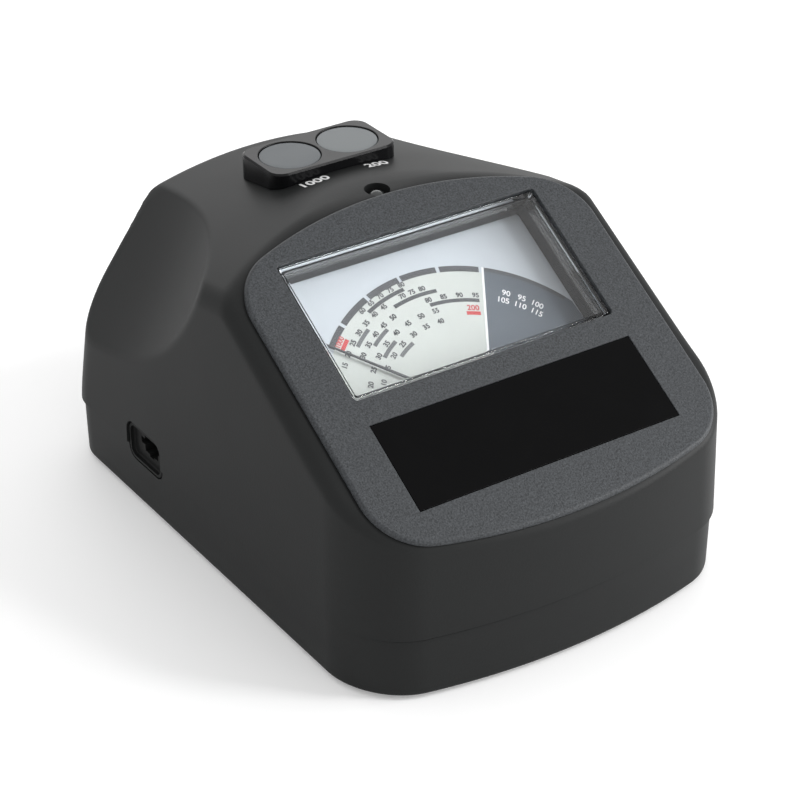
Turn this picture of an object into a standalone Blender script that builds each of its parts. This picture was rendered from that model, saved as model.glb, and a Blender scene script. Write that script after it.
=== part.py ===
"""Benchtop gem tester: a sloped case, a needle meter, two test discs on a block and a probe socket.

Metres, +Z up, front towards -Y. The origin is on the table under the middle of the case.
"""
import math

import bmesh
import bpy
import numpy
from mathutils import Matrix, Vector

# Case plan, at the bottom edge of the base
BASE_LENGTH = 0.1521
BASE_HALF_WIDTH = 0.0536
FRONT_ARC_RADIUS = 0.1716
FRONT_CORNER_RADIUS = 0.0147
FRONT_BULGE = 0.0010
BACK_ARC_RADIUS = 0.3000
BACK_CORNER_RADIUS = 0.0103

# Case walls
FOOT_PROUD = 0.0010
BASE_HEIGHT = 0.0160
BASE_FLARE = 0.0002
PARTING_STEP = 0.0006
PARTING_GAP = 0.0003
SIDE_DRAFT_SHARE = 0.0215
BACK_LEAN_SHARE = 0.200
BACK_LEAN_START = 0.0124
BACK_LEAN_BLEND = 0.0100
WALL = 0.0025
FLOOR = 0.0030
CONTACT_GAP = 0.0003
CUT_OVERRUN = 0.0050

# Case top: sloped face, brow over the panel, crown to the back
SLOPE_ANGLE = math.radians(31.0)
SLOPE_FRONT_HEIGHT = 0.0398
BROW_FROM_FRONT = 0.08185
BROW_UNDER_SLOPE = 0.00355
BROW_RISE_SHARE = 0.0806
CROWN_BEHIND_BROW = 0.0034
CROWN_OVER_BROW = 0.00054
CROWN_FALL_SHARE = 0.144
CROWN_SIDE_FALL = 0.01177
CROWN_BOW_RADIUS = 1.0
CREASE_ROUND = 0.0008
RIDGE_ROUND = 0.0020
FRONT_RIM_ROUND = 0.0013
SIDE_RIM_ROUND = 0.0039
RIM_ROUND_RUN = 0.0300

# Hand scoops in the two rear shoulders
SCOOP_BITE = 0.0158
SCOOP_DROP = 0.0260
SCOOP_STEEP_SHARE = 1.594
SCOOP_FROM_FRONT = 0.14375
SCOOP_TAPER_SHARE = 0.091
SCOOP_REACH = 0.0580
SCOOP_END_DEPTH = 0.00986
SCOOP_RAKE_SHARE = 0.157
SCOOP_RAKE_HEIGHT = 0.0500
SCOOP_BOW_RADIUS = 0.455
SCOOP_ROUND = 0.0010

# How finely the lofted shells are cut
OUTLINE_STEPS = 52
LINING_STEPS = 26
SCOOP_STEPS = 26
SHELL_ROWS = 28
LINING_ROWS = 18
TURN_WEIGHT = 0.010
MERGE_DISTANCE = 0.000005

# Front panel, placed along the slope from the front edge of the base
PANEL_THICKNESS = 0.0012
PANEL_SIDE_LAND = 0.0047
PANEL_LOW = -0.00145
PANEL_TOP = 0.0906
PANEL_LOW_ARC_RADIUS = 0.1640
PANEL_TOP_ARC_RADIUS = 0.1100
PANEL_LOW_CORNER = 0.0155
PANEL_TOP_CORNER = 0.0160
PANEL_EDGE_ROUND = 0.0009
WINDOW_SIDE_FRAME = 0.0121
WINDOW_LOW = 0.0415
WINDOW_TOP = 0.0801
WINDOW_CORNER = 0.0010
PLATE_SIDE_FRAME = 0.01215
PLATE_LOW = 0.0113
PLATE_TOP = 0.0345
PLATE_THICKNESS = 0.0005
PLATE_SINK = 0.0001
PLATE_FIT = 0.00015

# Meter
LENS_FIT = 0.0003
LENS_SINK = 0.0004
LENS_THICKNESS = 0.0015
LENS_WALL = 0.0010
LENS_FLANGE = 0.0013
METER_MARGIN = 0.0022
METER_LOW_MARGIN = 0.0257
METER_TOP_MARGIN = 0.0024
METER_FLOOR_ROOM = 0.0049
METER_WALL = 0.0016
METER_CORNER = 0.0020
DIAL_DEPTH = 0.0110
DIAL_THICKNESS = 0.0008
DIAL_FIT = 0.0002
DIAL_LEDGE = 0.0020
DIAL_FRAME = 0.0011
DIAL_HOLE_WIDTH = 0.0250
DIAL_HOLE_HEIGHT = 0.0130
DIAL_SCREW_INSET = 0.0038
DIAL_SCREW_UP = 0.0129
DIAL_SCREW_HEAD = 0.0016
PIVOT_BELOW_WINDOW = 0.0109
NEEDLE_TIP_ROOM = 0.0023
NEEDLE_SIDE_ROOM = 0.00337
NEEDLE_OVER_DIAL = 0.0012
NEEDLE_SWING = math.radians(90.0)
NEEDLE_THICKNESS = 0.0004
NEEDLE_ROOT_WIDTH = 0.0009
NEEDLE_TIP_WIDTH = 0.0004
NEEDLE_TAIL = 0.0070
NEEDLE_TAIL_WIDTH = 0.0022
NEEDLE_HUB_RADIUS = 0.0021
STAFF_RADIUS = 0.0005
STAFF_FIT = 0.0001
CORE_RADIUS = 0.0052
CORE_HEIGHT = 0.0088
CORE_UNDER_DIAL = 0.0038
CORE_ROOM = 0.0006
COIL_BAR = 0.0010
COIL_BREADTH = 0.0030
COIL_ROOM = 0.0014
RING_WALL = 0.0026
RING_OVERHANG = 0.0013
BRIDGE_THICKNESS = 0.0010
BRIDGE_BREADTH = 0.0050
BRIDGE_LEG = 0.0024
UPPER_BRIDGE_DROP = 0.0007
LOWER_BRIDGE_DROP = 0.0026
JEWEL_RADIUS = 0.0014
JEWEL_LENGTH = 0.0016
JEWEL_FIT = 0.0002
HAIRSPRING_INSIDE = 0.0010
HAIRSPRING_OUTSIDE = 0.0046
HAIRSPRING_WIRE = 0.00016
HAIRSPRING_TURNS = 4
UPPER_SPRING_DROP = 0.0007
LOWER_SPRING_DROP = 0.0014
CORE_SUPPORT_WIDTH = 0.0030
CORE_SUPPORT_HEIGHT = 0.0040
EAR_INSET = 0.0050
EAR_WIDTH = 0.0080
EAR_REACH = 0.0060
EAR_THICKNESS = 0.0020
EAR_DROP = 0.0040
METER_BOSS_RADIUS = 0.0027

# Screws: shank, head and holes
METER_SCREW = 0.0008
METER_SCREW_HEAD = 0.0021
METER_SCREW_LENGTH = 0.0075
CASE_SCREW = 0.0013
CASE_SCREW_HEAD = 0.0027
CASE_SCREW_LENGTH = 0.0220
SCREW_HEAD_HEIGHT = 0.0014
SCREW_CROWN_SHARE = 0.8
SCREW_SLOT = 0.0007
SCREW_FIT = 0.0002
CASE_SCREW_FROM_SIDE = 0.0096
CASE_SCREW_FROM_END = 0.02605
BOSS_RADIUS = 0.0035
FOOT_RADIUS = 0.0055
FOOT_SINK = 0.0012
FOOT_FROM_SIDE = 0.0136
FOOT_FROM_END = 0.01505

# Disc block on the crown
BLOCK_SIDE_BORDER = 0.00206
BLOCK_END_BORDER = 0.00165
BLOCK_BEHIND_BROW = 0.0262
BLOCK_OVER_CROWN = 0.00073
BLOCK_CORNER = 0.0040
BLOCK_EDGE = 0.0005
BLOCK_PEG_RADIUS = 0.0018
DISC_RADIUS = 0.00765
DISC_WEB = 0.00148
DISC_THICKNESS = 0.0020
DISC_FIT = 0.0002
DISC_SINK = 0.0002

# Indicator lamp in the brow
LAMP_HOLE_RADIUS = 0.0032
LAMP_RADIUS = 0.0025
LAMP_SINK = 0.0005
LAMP_LENGTH = 0.0062
LAMP_FLANGE_RADIUS = 0.0030
LAMP_FLANGE = 0.0010
LAMP_HOLDER_RADIUS = 0.0040
LAMP_HOLDER_TOP = 0.0045
LAMP_FIT = 0.0002

# Probe socket in the left wall
SOCKET_FROM_BACK = 0.04515
SOCKET_HEIGHT = 0.0177
SOCKET_LENGTH = 0.0166
SOCKET_TALL = 0.0106
SOCKET_CORNER = 0.0030
SOCKET_DEPTH = 0.0115
SOCKET_SINK = 0.0006
SOCKET_RIM = 0.0009
SOCKET_DISH = 0.0012
SOCKET_HOLE_LENGTH = 0.0078
SOCKET_HOLE_TALL = 0.0048
SOCKET_KEY_LENGTH = 0.0024
SOCKET_KEY_TALL = 0.0068
SOCKET_HOLE_DEPTH = 0.0085

# Batteries, door and circuit board
CELL_RADIUS = 0.00525
CELL_LENGTH = 0.0430
CELL_NUB_RADIUS = 0.0019
CELL_NUB = 0.0012
CELL_SPACE = 0.0007
CELL_COUNT = 3
CELL_FIT = 0.0003
BAY_BACK_LAND = 0.01125
BAY_FRONT_LAND = 0.0030
BAY_WALL = 0.0015
CONTACT_THICKNESS = 0.0005
CONTACT_WIDTH = 0.0080
SPRING_LENGTH = 0.0050
SPRING_WIRE = 0.00035
SPRING_BASE = 0.0034
SPRING_TIP = 0.0018
SPRING_TURNS = 3
DOOR_SIDE_LAND = 0.0036
DOOR_THICKNESS = 0.0017
DOOR_TONGUE = 0.0013
DOOR_TONGUE_THICKNESS = 0.0006
DOOR_FIT = 0.00025
DOOR_GRIP_COUNT = 5
DOOR_GRIP_PITCH = 0.0026
DOOR_GRIP_WIDTH = 0.0180
DOOR_GRIP_DEPTH = 0.0005
DOOR_GRIP_BREADTH = 0.0010
BOARD_SIDE_ROOM = 0.0156
BOARD_LENGTH = 0.0740
BOARD_BACK_ROOM = 0.00805
BOARD_CLEARANCE = 0.0029
BOARD_THICKNESS = 0.0016
BOARD_POST_INSET = 0.0050
BOARD_POST_FROM_END = 0.0060
BOARD_POST_RADIUS = 0.0030
BOARD_SCREW_LENGTH = 0.0070
CHIP_WIDTH = 0.0140
CHIP_DEPTH = 0.0100
CHIP_HEIGHT = 0.0020
CHIP_FROM_MIDDLE = -0.0080
CHIP_FROM_BACK = 0.0430

# Power switch in the back wall
SWITCH_FROM_SIDE = 0.0316
SWITCH_UP = 0.0046
SWITCH_BODY_WIDTH = 0.0180
SWITCH_BODY_DEPTH = 0.0060
SWITCH_BODY_HEIGHT = 0.0080
SWITCH_SLOT_HEIGHT = 0.0036
SWITCH_KNOB_WIDTH = 0.0050
SWITCH_TRAVEL = 0.0050
SWITCH_FIT = 0.0003
SWITCH_POCKET = 0.0030
SWITCH_PROUD = 0.0012
SWITCH_RIB_COUNT = 3
SWITCH_RIB_DEPTH = 0.0004

# Worked out from the sizes above
FRONT_EDGE = -BASE_LENGTH / 2
BACK_EDGE = BASE_LENGTH / 2
PARTING = FOOT_PROUD + BASE_HEIGHT
BROW_PLACE = FRONT_EDGE + BROW_FROM_FRONT
BROW_HEIGHT = SLOPE_FRONT_HEIGHT + BROW_FROM_FRONT * math.tan(SLOPE_ANGLE) - BROW_UNDER_SLOPE
CROWN_PLACE = BROW_PLACE + CROWN_BEHIND_BROW
CROWN_HEIGHT = BROW_HEIGHT + CROWN_OVER_BROW
CROWN_RADIUS = BASE_HALF_WIDTH ** 2 / (2 * CROWN_SIDE_FALL)
BLOCK_TOP = CROWN_HEIGHT + BLOCK_OVER_CROWN
SCOOP_HEIGHT = CROWN_HEIGHT - SCOOP_DROP
SCOOP_HALF_WIDTH = BASE_HALF_WIDTH - SCOOP_BITE
SCOOP_START = FRONT_EDGE + SCOOP_FROM_FRONT
PANEL_HALF_WIDTH = BASE_HALF_WIDTH - PANEL_SIDE_LAND
SLOPE_SINK = PANEL_THICKNESS + CONTACT_GAP
METER_FACE = SLOPE_SINK + WALL + CONTACT_GAP
CASE_FACE = METER_FACE + LENS_FLANGE + CONTACT_GAP
WINDOW_WIDTH = 2 * (PANEL_HALF_WIDTH - WINDOW_SIDE_FRAME)
PLATE_WIDTH = 2 * (PANEL_HALF_WIDTH - PLATE_SIDE_FRAME)
METER_WIDTH = WINDOW_WIDTH + 2 * METER_MARGIN
METER_LOW = WINDOW_LOW - METER_LOW_MARGIN
METER_TOP = WINDOW_TOP + METER_TOP_MARGIN
METER_SCREW_PLACES = (METER_LOW - EAR_REACH / 2, METER_TOP + EAR_REACH / 2)
EAR_SPREAD = METER_WIDTH / 2 - EAR_INSET
DIAL_SCREW_SPREAD = WINDOW_WIDTH / 2 - DIAL_SCREW_INSET
PIVOT_PLACE = WINDOW_LOW - PIVOT_BELOW_WINDOW
DIAL_SCREW_PLACE = METER_LOW + METER_WALL + DIAL_SCREW_UP
DIAL_EDGE = METER_WIDTH / 2 - METER_WALL - DIAL_FIT
DIAL_LOW = METER_LOW + METER_WALL + DIAL_FIT
DIAL_TOP = METER_TOP - METER_WALL - DIAL_FIT
NEEDLE_LENGTH = DIAL_TOP - DIAL_FRAME - NEEDLE_TIP_ROOM - PIVOT_PLACE
NEEDLE_REST = math.asin((DIAL_EDGE - DIAL_FRAME - NEEDLE_SIDE_ROOM) / NEEDLE_LENGTH)
COIL_TURN = NEEDLE_SWING / 2 - NEEDLE_REST
NEEDLE_DEPTH = DIAL_DEPTH - NEEDLE_OVER_DIAL
CORE_DEPTH = DIAL_DEPTH + DIAL_THICKNESS + CORE_UNDER_DIAL
COIL_INSIDE = CORE_RADIUS + CORE_ROOM
COIL_TOP = CORE_DEPTH - CORE_ROOM - COIL_BAR
COIL_BOTTOM = CORE_DEPTH + CORE_HEIGHT + CORE_ROOM + COIL_BAR
RING_BORE = COIL_INSIDE + COIL_BAR + COIL_ROOM
RING_RADIUS = RING_BORE + RING_WALL
RING_DEPTH = CORE_DEPTH - RING_OVERHANG
RING_HEIGHT = CORE_HEIGHT + 2 * RING_OVERHANG
UPPER_BRIDGE_DEPTH = CASE_FACE + UPPER_BRIDGE_DROP
LOWER_BRIDGE_DEPTH = COIL_BOTTOM + LOWER_BRIDGE_DROP
UPPER_SPRING_DEPTH = DIAL_DEPTH + DIAL_THICKNESS + UPPER_SPRING_DROP
LOWER_SPRING_DEPTH = COIL_BOTTOM + LOWER_SPRING_DROP
METER_DEPTH = LOWER_BRIDGE_DEPTH + METER_FLOOR_ROOM
EAR_DEPTH = CASE_FACE + EAR_DROP
DISC_SPACING = 2 * DISC_RADIUS + DISC_WEB
BLOCK_WIDTH = DISC_SPACING + 2 * DISC_RADIUS + 2 * BLOCK_SIDE_BORDER
BLOCK_DEPTH = 2 * DISC_RADIUS + 2 * BLOCK_END_BORDER
BLOCK_PEG_SPREAD = DISC_SPACING / 2
CASE_SCREW_X = BASE_HALF_WIDTH - CASE_SCREW_FROM_SIDE
CASE_SCREW_FRONT = FRONT_EDGE + CASE_SCREW_FROM_END
CASE_SCREW_BACK = BACK_EDGE - CASE_SCREW_FROM_END
FOOT_X = BASE_HALF_WIDTH - FOOT_FROM_SIDE
FOOT_FRONT = FRONT_EDGE + FOOT_FROM_END
FOOT_BACK = BACK_EDGE - FOOT_FROM_END
BOARD_HALF_WIDTH = BASE_HALF_WIDTH - BOARD_SIDE_ROOM
BOARD_BACK = BACK_EDGE - BOARD_BACK_ROOM
BOARD_FRONT = BOARD_BACK - BOARD_LENGTH
BOARD_POST_X = BOARD_HALF_WIDTH - BOARD_POST_INSET
BOARD_POST_FRONT = BOARD_FRONT + BOARD_POST_FROM_END
BOARD_POST_BACK = BOARD_BACK - BOARD_POST_FROM_END
CHIP_PLACE_X = CHIP_FROM_MIDDLE
CHIP_PLACE_Y = BOARD_BACK - CHIP_FROM_BACK
SOCKET_PLACE = BACK_EDGE - SOCKET_FROM_BACK
BLOCK_PLACE = BROW_PLACE + BLOCK_BEHIND_BROW
CELL_PITCH = 2 * CELL_RADIUS + CELL_SPACE
BAY_HALF_WIDTH = CELL_PITCH * CELL_COUNT / 2 + CELL_FIT
BAY_LENGTH = CELL_LENGTH + CELL_NUB + SPRING_LENGTH + 2 * CONTACT_THICKNESS + 2 * CELL_FIT
BAY_FRONT = BACK_EDGE - BAY_BACK_LAND - BAY_LENGTH
BAY_TOP = FOOT_PROUD + DOOR_THICKNESS + 2 * CELL_FIT + 2 * CELL_RADIUS + CONTACT_GAP
DOOR_FRONT = BAY_FRONT - BAY_FRONT_LAND
DOOR_HALF_WIDTH = BAY_HALF_WIDTH + DOOR_SIDE_LAND
BOARD_HEIGHT = BAY_TOP + BAY_WALL + BOARD_CLEARANCE
SWITCH_X = BASE_HALF_WIDTH - SWITCH_FROM_SIDE
SWITCH_SLOT_WIDTH = SWITCH_KNOB_WIDTH + SWITCH_TRAVEL + 2 * SWITCH_FIT
SWITCH_HEIGHT = BOARD_HEIGHT + BOARD_THICKNESS + CONTACT_GAP + SWITCH_UP

COLLECTION_NAME = "gem_tester"
ROUND_SIDES = 48
SMALL_SIDES = 20


def clear_scene():
    """Remove every object the file opened with."""
    for item in list(bpy.data.objects):
        bpy.data.objects.remove(item, do_unlink=True)


def new_collection(name, hidden):
    """A collection in the scene; the cutters' one is hidden."""
    collection = bpy.data.collections.new(name)
    bpy.context.scene.collection.children.link(collection)
    collection.hide_render = hidden
    return collection


def make_material(name, color, roughness, metallic, alpha):
    """One plain finish."""
    material = bpy.data.materials.new(name)
    material.use_nodes = True
    shader = material.node_tree.nodes["Principled BSDF"]
    shader.inputs["Base Color"].default_value = (*color, 1.0)
    shader.inputs["Roughness"].default_value = roughness
    shader.inputs["Metallic"].default_value = metallic
    shader.inputs["Alpha"].default_value = alpha
    material.diffuse_color = (*color, alpha)
    return material


FINISHES = {
    "case": ((0.045, 0.046, 0.047), 0.55, 0.0, 1.0),
    "panel": ((0.070, 0.074, 0.080), 0.45, 0.0, 1.0),
    "plate": ((0.006, 0.006, 0.007), 0.12, 0.0, 1.0),
    "clear": ((0.900, 0.930, 0.950), 0.05, 0.0, 0.3),
    "meter": ((0.020, 0.022, 0.026), 0.50, 0.0, 1.0),
    "card": ((0.780, 0.810, 0.850), 0.60, 0.0, 1.0),
    "ink": ((0.060, 0.065, 0.075), 0.50, 0.0, 1.0),
    "block": ((0.012, 0.012, 0.013), 0.20, 0.0, 1.0),
    "disc_glass": ((0.180, 0.190, 0.195), 0.12, 0.0, 1.0),
    "disc_metal": ((0.200, 0.210, 0.215), 0.18, 0.3, 1.0),
    "lamp": ((0.300, 0.310, 0.310), 0.20, 0.0, 1.0),
    "socket": ((0.020, 0.020, 0.021), 0.40, 0.0, 1.0),
    "iron": ((0.400, 0.400, 0.410), 0.35, 1.0, 1.0),
    "brass": ((0.700, 0.530, 0.260), 0.30, 1.0, 1.0),
    "copper": ((0.720, 0.330, 0.180), 0.35, 1.0, 1.0),
    "magnet": ((0.250, 0.250, 0.260), 0.40, 1.0, 1.0),
    "steel": ((0.550, 0.550, 0.560), 0.30, 1.0, 1.0),
    "board": ((0.020, 0.160, 0.080), 0.50, 0.0, 1.0),
    "chip": ((0.015, 0.015, 0.016), 0.45, 0.0, 1.0),
    "rubber": ((0.020, 0.020, 0.020), 0.85, 0.0, 1.0),
    "cell": ((0.550, 0.420, 0.150), 0.30, 0.6, 1.0),
}


class Builder:
    """Holds the two collections and the finishes."""

    def __init__(self):
        self.parts = new_collection(COLLECTION_NAME, False)
        self.cutters = new_collection(COLLECTION_NAME + "_cutters", True)
        self.finishes = {}
        for name, values in FINISHES.items():
            self.finishes[name] = make_material(name, *values)
        self.slope = self.frame("slope_frame", (0, FRONT_EDGE, FOOT_PROUD + SLOPE_FRONT_HEIGHT), SLOPE_ANGLE)
        lamp_tilt = math.atan(BROW_RISE_SHARE)
        self.brow = self.frame("brow_frame", (0, BROW_PLACE, FOOT_PROUD + BROW_HEIGHT), lamp_tilt)

    def frame(self, name, place, tilt):
        """An empty that carries tilted pieces."""
        empty = bpy.data.objects.new(name, None)
        empty.location = place
        empty.rotation_euler = (tilt, 0, 0)
        self.parts.objects.link(empty)
        return empty

    def place(self, item, parent):
        """Move an object into the parts and under its frame."""
        for collection in list(item.users_collection):
            collection.objects.unlink(item)
        self.parts.objects.link(item)
        item.parent = parent
        return item

    def part(self, item, name, finish, parent=None):
        """Make an object a named piece with its own finish."""
        item.name = name
        item.data.name = name
        item.data.materials.clear()
        item.data.materials.append(self.finishes[finish])
        return self.place(item, parent)

    def cutter(self, item, parent=None):
        """Make an object a hidden cutter."""
        self.place(item, parent)
        self.parts.objects.unlink(item)
        self.cutters.objects.link(item)
        item.hide_render = True
        item.display_type = "WIRE"
        return item


def from_bmesh(name, mesh_data):
    """Turn a bmesh into an object."""
    bmesh.ops.recalc_face_normals(mesh_data, faces=mesh_data.faces)
    mesh = bpy.data.meshes.new(name)
    mesh_data.to_mesh(mesh)
    mesh_data.free()
    item = bpy.data.objects.new(name, mesh)
    bpy.context.scene.collection.objects.link(item)
    return item


def box(low, high):
    """A block between two corners."""
    mesh_data = bmesh.new()
    size = [high[i] - low[i] for i in range(3)]
    middle = [(high[i] + low[i]) / 2 for i in range(3)]
    matrix = Matrix.Translation(middle) @ Matrix.Diagonal((*size, 1.0))
    bmesh.ops.create_cube(mesh_data, size=1.0, matrix=matrix)
    return from_bmesh("block", mesh_data)


def rod(center, low, high, radius, top_radius=None, sides=ROUND_SIDES):
    """An upright cylinder or cone between two heights."""
    mesh_data = bmesh.new()
    height = high - low
    matrix = Matrix.Translation((center[0], center[1], low + height / 2))
    upper = radius if top_radius is None else top_radius
    bmesh.ops.create_cone(mesh_data, cap_ends=True, segments=sides, radius1=radius, radius2=upper,
                          depth=height, matrix=matrix)
    return from_bmesh("rod", mesh_data)


def turned(profile, sides):
    """A solid turned about Z from (radius, height) points that run down its outer side."""
    mesh_data = bmesh.new()
    corners = [mesh_data.verts.new((radius, 0, height)) for radius, height in profile]
    for first, second in zip(corners[:-1], corners[1:]):
        mesh_data.edges.new((first, second))
    mesh = bpy.data.meshes.new("turned")
    mesh_data.to_mesh(mesh)
    mesh_data.free()
    item = bpy.data.objects.new("turned", mesh)
    bpy.context.scene.collection.objects.link(item)
    screw = item.modifiers.new("turn", "SCREW")
    screw.steps = sides
    screw.render_steps = sides
    screw.use_merge_vertices = True
    screw.merge_threshold = MERGE_DISTANCE
    return item


def plate(outline, low, high):
    """A flat piece from a closed outline, between two heights."""
    mesh_data = bmesh.new()
    corners = [mesh_data.verts.new((x, y, low)) for x, y in outline]
    face = mesh_data.faces.new(corners)
    swept = bmesh.ops.extrude_face_region(mesh_data, geom=[face])
    moved = [item for item in swept["geom"] if isinstance(item, bmesh.types.BMVert)]
    bmesh.ops.translate(mesh_data, verts=moved, vec=(0, 0, high - low))
    return from_bmesh("plate", mesh_data)


def loft(rings):
    """A closed solid through rings of equal length, capped at both ends."""
    mesh_data = bmesh.new()
    rows = [[mesh_data.verts.new(point) for point in ring] for ring in rings]
    count = len(rows[0])
    for lower, upper in zip(rows[:-1], rows[1:]):
        for i in range(count):
            j = (i + 1) % count
            if len(upper) == 1:
                mesh_data.faces.new((lower[i], lower[j], upper[0]))
            else:
                mesh_data.faces.new((lower[i], lower[j], upper[j], upper[i]))
    mesh_data.faces.new(list(reversed(rows[0])))
    if len(rows[-1]) > 1:
        mesh_data.faces.new(rows[-1])
    return from_bmesh("loft", mesh_data)


def cut(target, tool, operation="DIFFERENCE"):
    """Add a Boolean to a piece."""
    step = target.modifiers.new(operation.lower(), "BOOLEAN")
    step.operation = operation
    step.solver = "EXACT"
    step.object = tool
    return target


def soften(target, width, segments, angle=math.radians(40)):
    """Round a piece's edges."""
    step = target.modifiers.new("soften", "BEVEL")
    step.width = width
    step.segments = segments
    step.limit_method = "ANGLE"
    step.angle_limit = angle
    step.use_clamp_overlap = True
    return target


def arc(center, radius, start, end, steps):
    """Points on an arc, both ends included."""
    points = []
    for i in range(steps + 1):
        angle = start + (end - start) * i / steps
        points.append((center[0] + radius * math.cos(angle), center[1] + radius * math.sin(angle)))
    return points


def rounded_rectangle(low, high, radius, steps=4):
    """Outline of a rectangle with round corners, anticlockwise."""
    quarter = math.pi / 2
    points = []
    corners = ((high[0], low[1], -1), (high[0], high[1], 0), (low[0], high[1], 1), (low[0], low[1], 2))
    for x, y, turn in corners:
        center_x = x - radius if x == high[0] else x + radius
        center_y = y - radius if y == high[1] else y + radius
        points += arc((center_x, center_y), radius, turn * quarter, (turn + 1) * quarter, steps)
    return points


def arched_outline(half_width, low, high, low_arc, high_arc, low_corner, high_corner):
    """Outline with straight sides and gently arched ends, all corners tangent, anticlockwise."""
    def end(sign, edge, radius, corner):
        arc_center = edge - sign * radius
        reach = math.sqrt((radius - corner) ** 2 - (half_width - corner) ** 2)
        corner_y = arc_center + sign * reach
        meet = math.atan2(reach, half_width - corner)
        return arc_center, corner_y, meet

    low_center, low_corner_y, low_meet = end(-1, low, low_arc, low_corner)
    high_center, high_corner_y, high_meet = end(1, high, high_arc, high_corner)
    points = []
    points += arc((half_width - high_corner, high_corner_y), high_corner, 0, high_meet, 9)
    points += arc((0, high_center), high_arc, high_meet, math.pi - high_meet, 14)[1:-1]
    points += arc((high_corner - half_width, high_corner_y), high_corner, math.pi - high_meet, math.pi, 9)
    points += arc((low_corner - half_width, low_corner_y), low_corner, math.pi, math.pi + low_meet, 8)
    points += arc((0, low_center), low_arc, math.pi + low_meet, math.tau - low_meet, 12)[1:-1]
    points += arc((half_width - low_corner, low_corner_y), low_corner, math.tau - low_meet, math.tau, 8)
    return points


def inset(outline, amount):
    """An outline moved inwards by an amount, for convex outlines."""
    count = len(outline)
    moved = []
    for i in range(count):
        before = Vector(outline[i - 1])
        after = Vector(outline[(i + 1) % count])
        along = (after - before).normalized()
        inward = Vector((-along.y, along.x))
        moved.append(tuple(Vector(outline[i]) + inward * amount))
    return moved


def meet(first, second, radius):
    """Join two surfaces' distances with an edge of the given radius."""
    a = numpy.maximum(first + radius, 0)
    b = numpy.maximum(second + radius, 0)
    return numpy.minimum(numpy.maximum(first, second) + radius, 0) + numpy.hypot(a, b) - radius


def plan_distance(x, y, height):
    """Distance outside the case's plan outline at a height over the base's bottom edge."""
    on_base = BASE_FLARE * numpy.clip(height / BASE_HEIGHT, 0, 1)
    above = height - BASE_HEIGHT
    on_shell = BASE_FLARE + PARTING_STEP - SIDE_DRAFT_SHARE * above
    grow = numpy.where(above > -PARTING_GAP / 2, on_shell, on_base)
    over = numpy.maximum(height - BACK_LEAN_START, 0)
    early = over ** 2 / (2 * BACK_LEAN_BLEND)
    late = over - BACK_LEAN_BLEND / 2
    lean = BACK_LEAN_SHARE * numpy.where(over < BACK_LEAN_BLEND, early, late)
    aside = numpy.abs(x)
    front_center = FRONT_EDGE - FRONT_BULGE - grow + FRONT_ARC_RADIUS
    back_center = BACK_EDGE + grow - lean - BACK_ARC_RADIUS
    front = numpy.hypot(aside, y - front_center) - FRONT_ARC_RADIUS
    front = numpy.where(y < front_center, front, -FRONT_ARC_RADIUS)
    back = numpy.hypot(aside, y - back_center) - BACK_ARC_RADIUS
    side = aside - BASE_HALF_WIDTH - grow
    return numpy.maximum(meet(front, side, FRONT_CORNER_RADIUS), meet(back, side, BACK_CORNER_RADIUS))


def uncut_distance(x, y, z):
    """Distance outside the upper case before the hand scoops are taken off."""
    height = z - FOOT_PROUD
    run = y - FRONT_EDGE
    slope = (height - SLOPE_FRONT_HEIGHT) * math.cos(SLOPE_ANGLE) - run * math.sin(SLOPE_ANGLE) + SLOPE_SINK
    behind = y - CROWN_PLACE
    bow = numpy.maximum(behind, 0) ** 2 / (2 * CROWN_BOW_RADIUS)
    fall = CROWN_FALL_SHARE * behind + bow + x * x / (2 * CROWN_RADIUS)
    crown = (height - CROWN_HEIGHT + fall) * math.cos(math.atan(CROWN_FALL_SHARE))
    rise = BROW_RISE_SHARE * (y - BROW_PLACE)
    brow = (height - BROW_HEIGHT - rise) * math.cos(math.atan(BROW_RISE_SHARE))
    top = meet(meet(slope, crown, RIDGE_ROUND), brow, CREASE_ROUND)
    share = numpy.clip(run / RIM_ROUND_RUN, 0, 1)
    blend = share * share * (3 - 2 * share)
    rim = FRONT_RIM_ROUND + (SIDE_RIM_ROUND - FRONT_RIM_ROUND) * blend
    return meet(top, plan_distance(x, y, height), rim)


def scoop_spread(ahead):
    """How much wider the scooped part gets at a distance ahead of where the taper starts."""
    reach = numpy.maximum(ahead, 0)
    return SCOOP_TAPER_SHARE * reach + SCOOP_END_DEPTH * (reach / SCOOP_REACH) ** 3


def scoop_lean(height):
    """How far in from its half width the scoop's wall stands at a height, slightly bowed."""
    up = height - SCOOP_HEIGHT
    return up / SCOOP_STEEP_SHARE - up * up / (2 * SCOOP_BOW_RADIUS)


def case_distance(x, y, z):
    """Distance outside the upper case's finished surface."""
    height = z - FOOT_PROUD
    ahead = SCOOP_START - y + SCOOP_RAKE_SHARE * (height - SCOOP_RAKE_HEIGHT)
    edge = SCOOP_HALF_WIDTH + scoop_spread(ahead)
    lean = math.sin(math.atan(SCOOP_STEEP_SHARE))
    scoop = (numpy.abs(x) - edge + scoop_lean(height)) * lean
    return meet(uncut_distance(x, y, z), scoop, SCOOP_ROUND)


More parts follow.
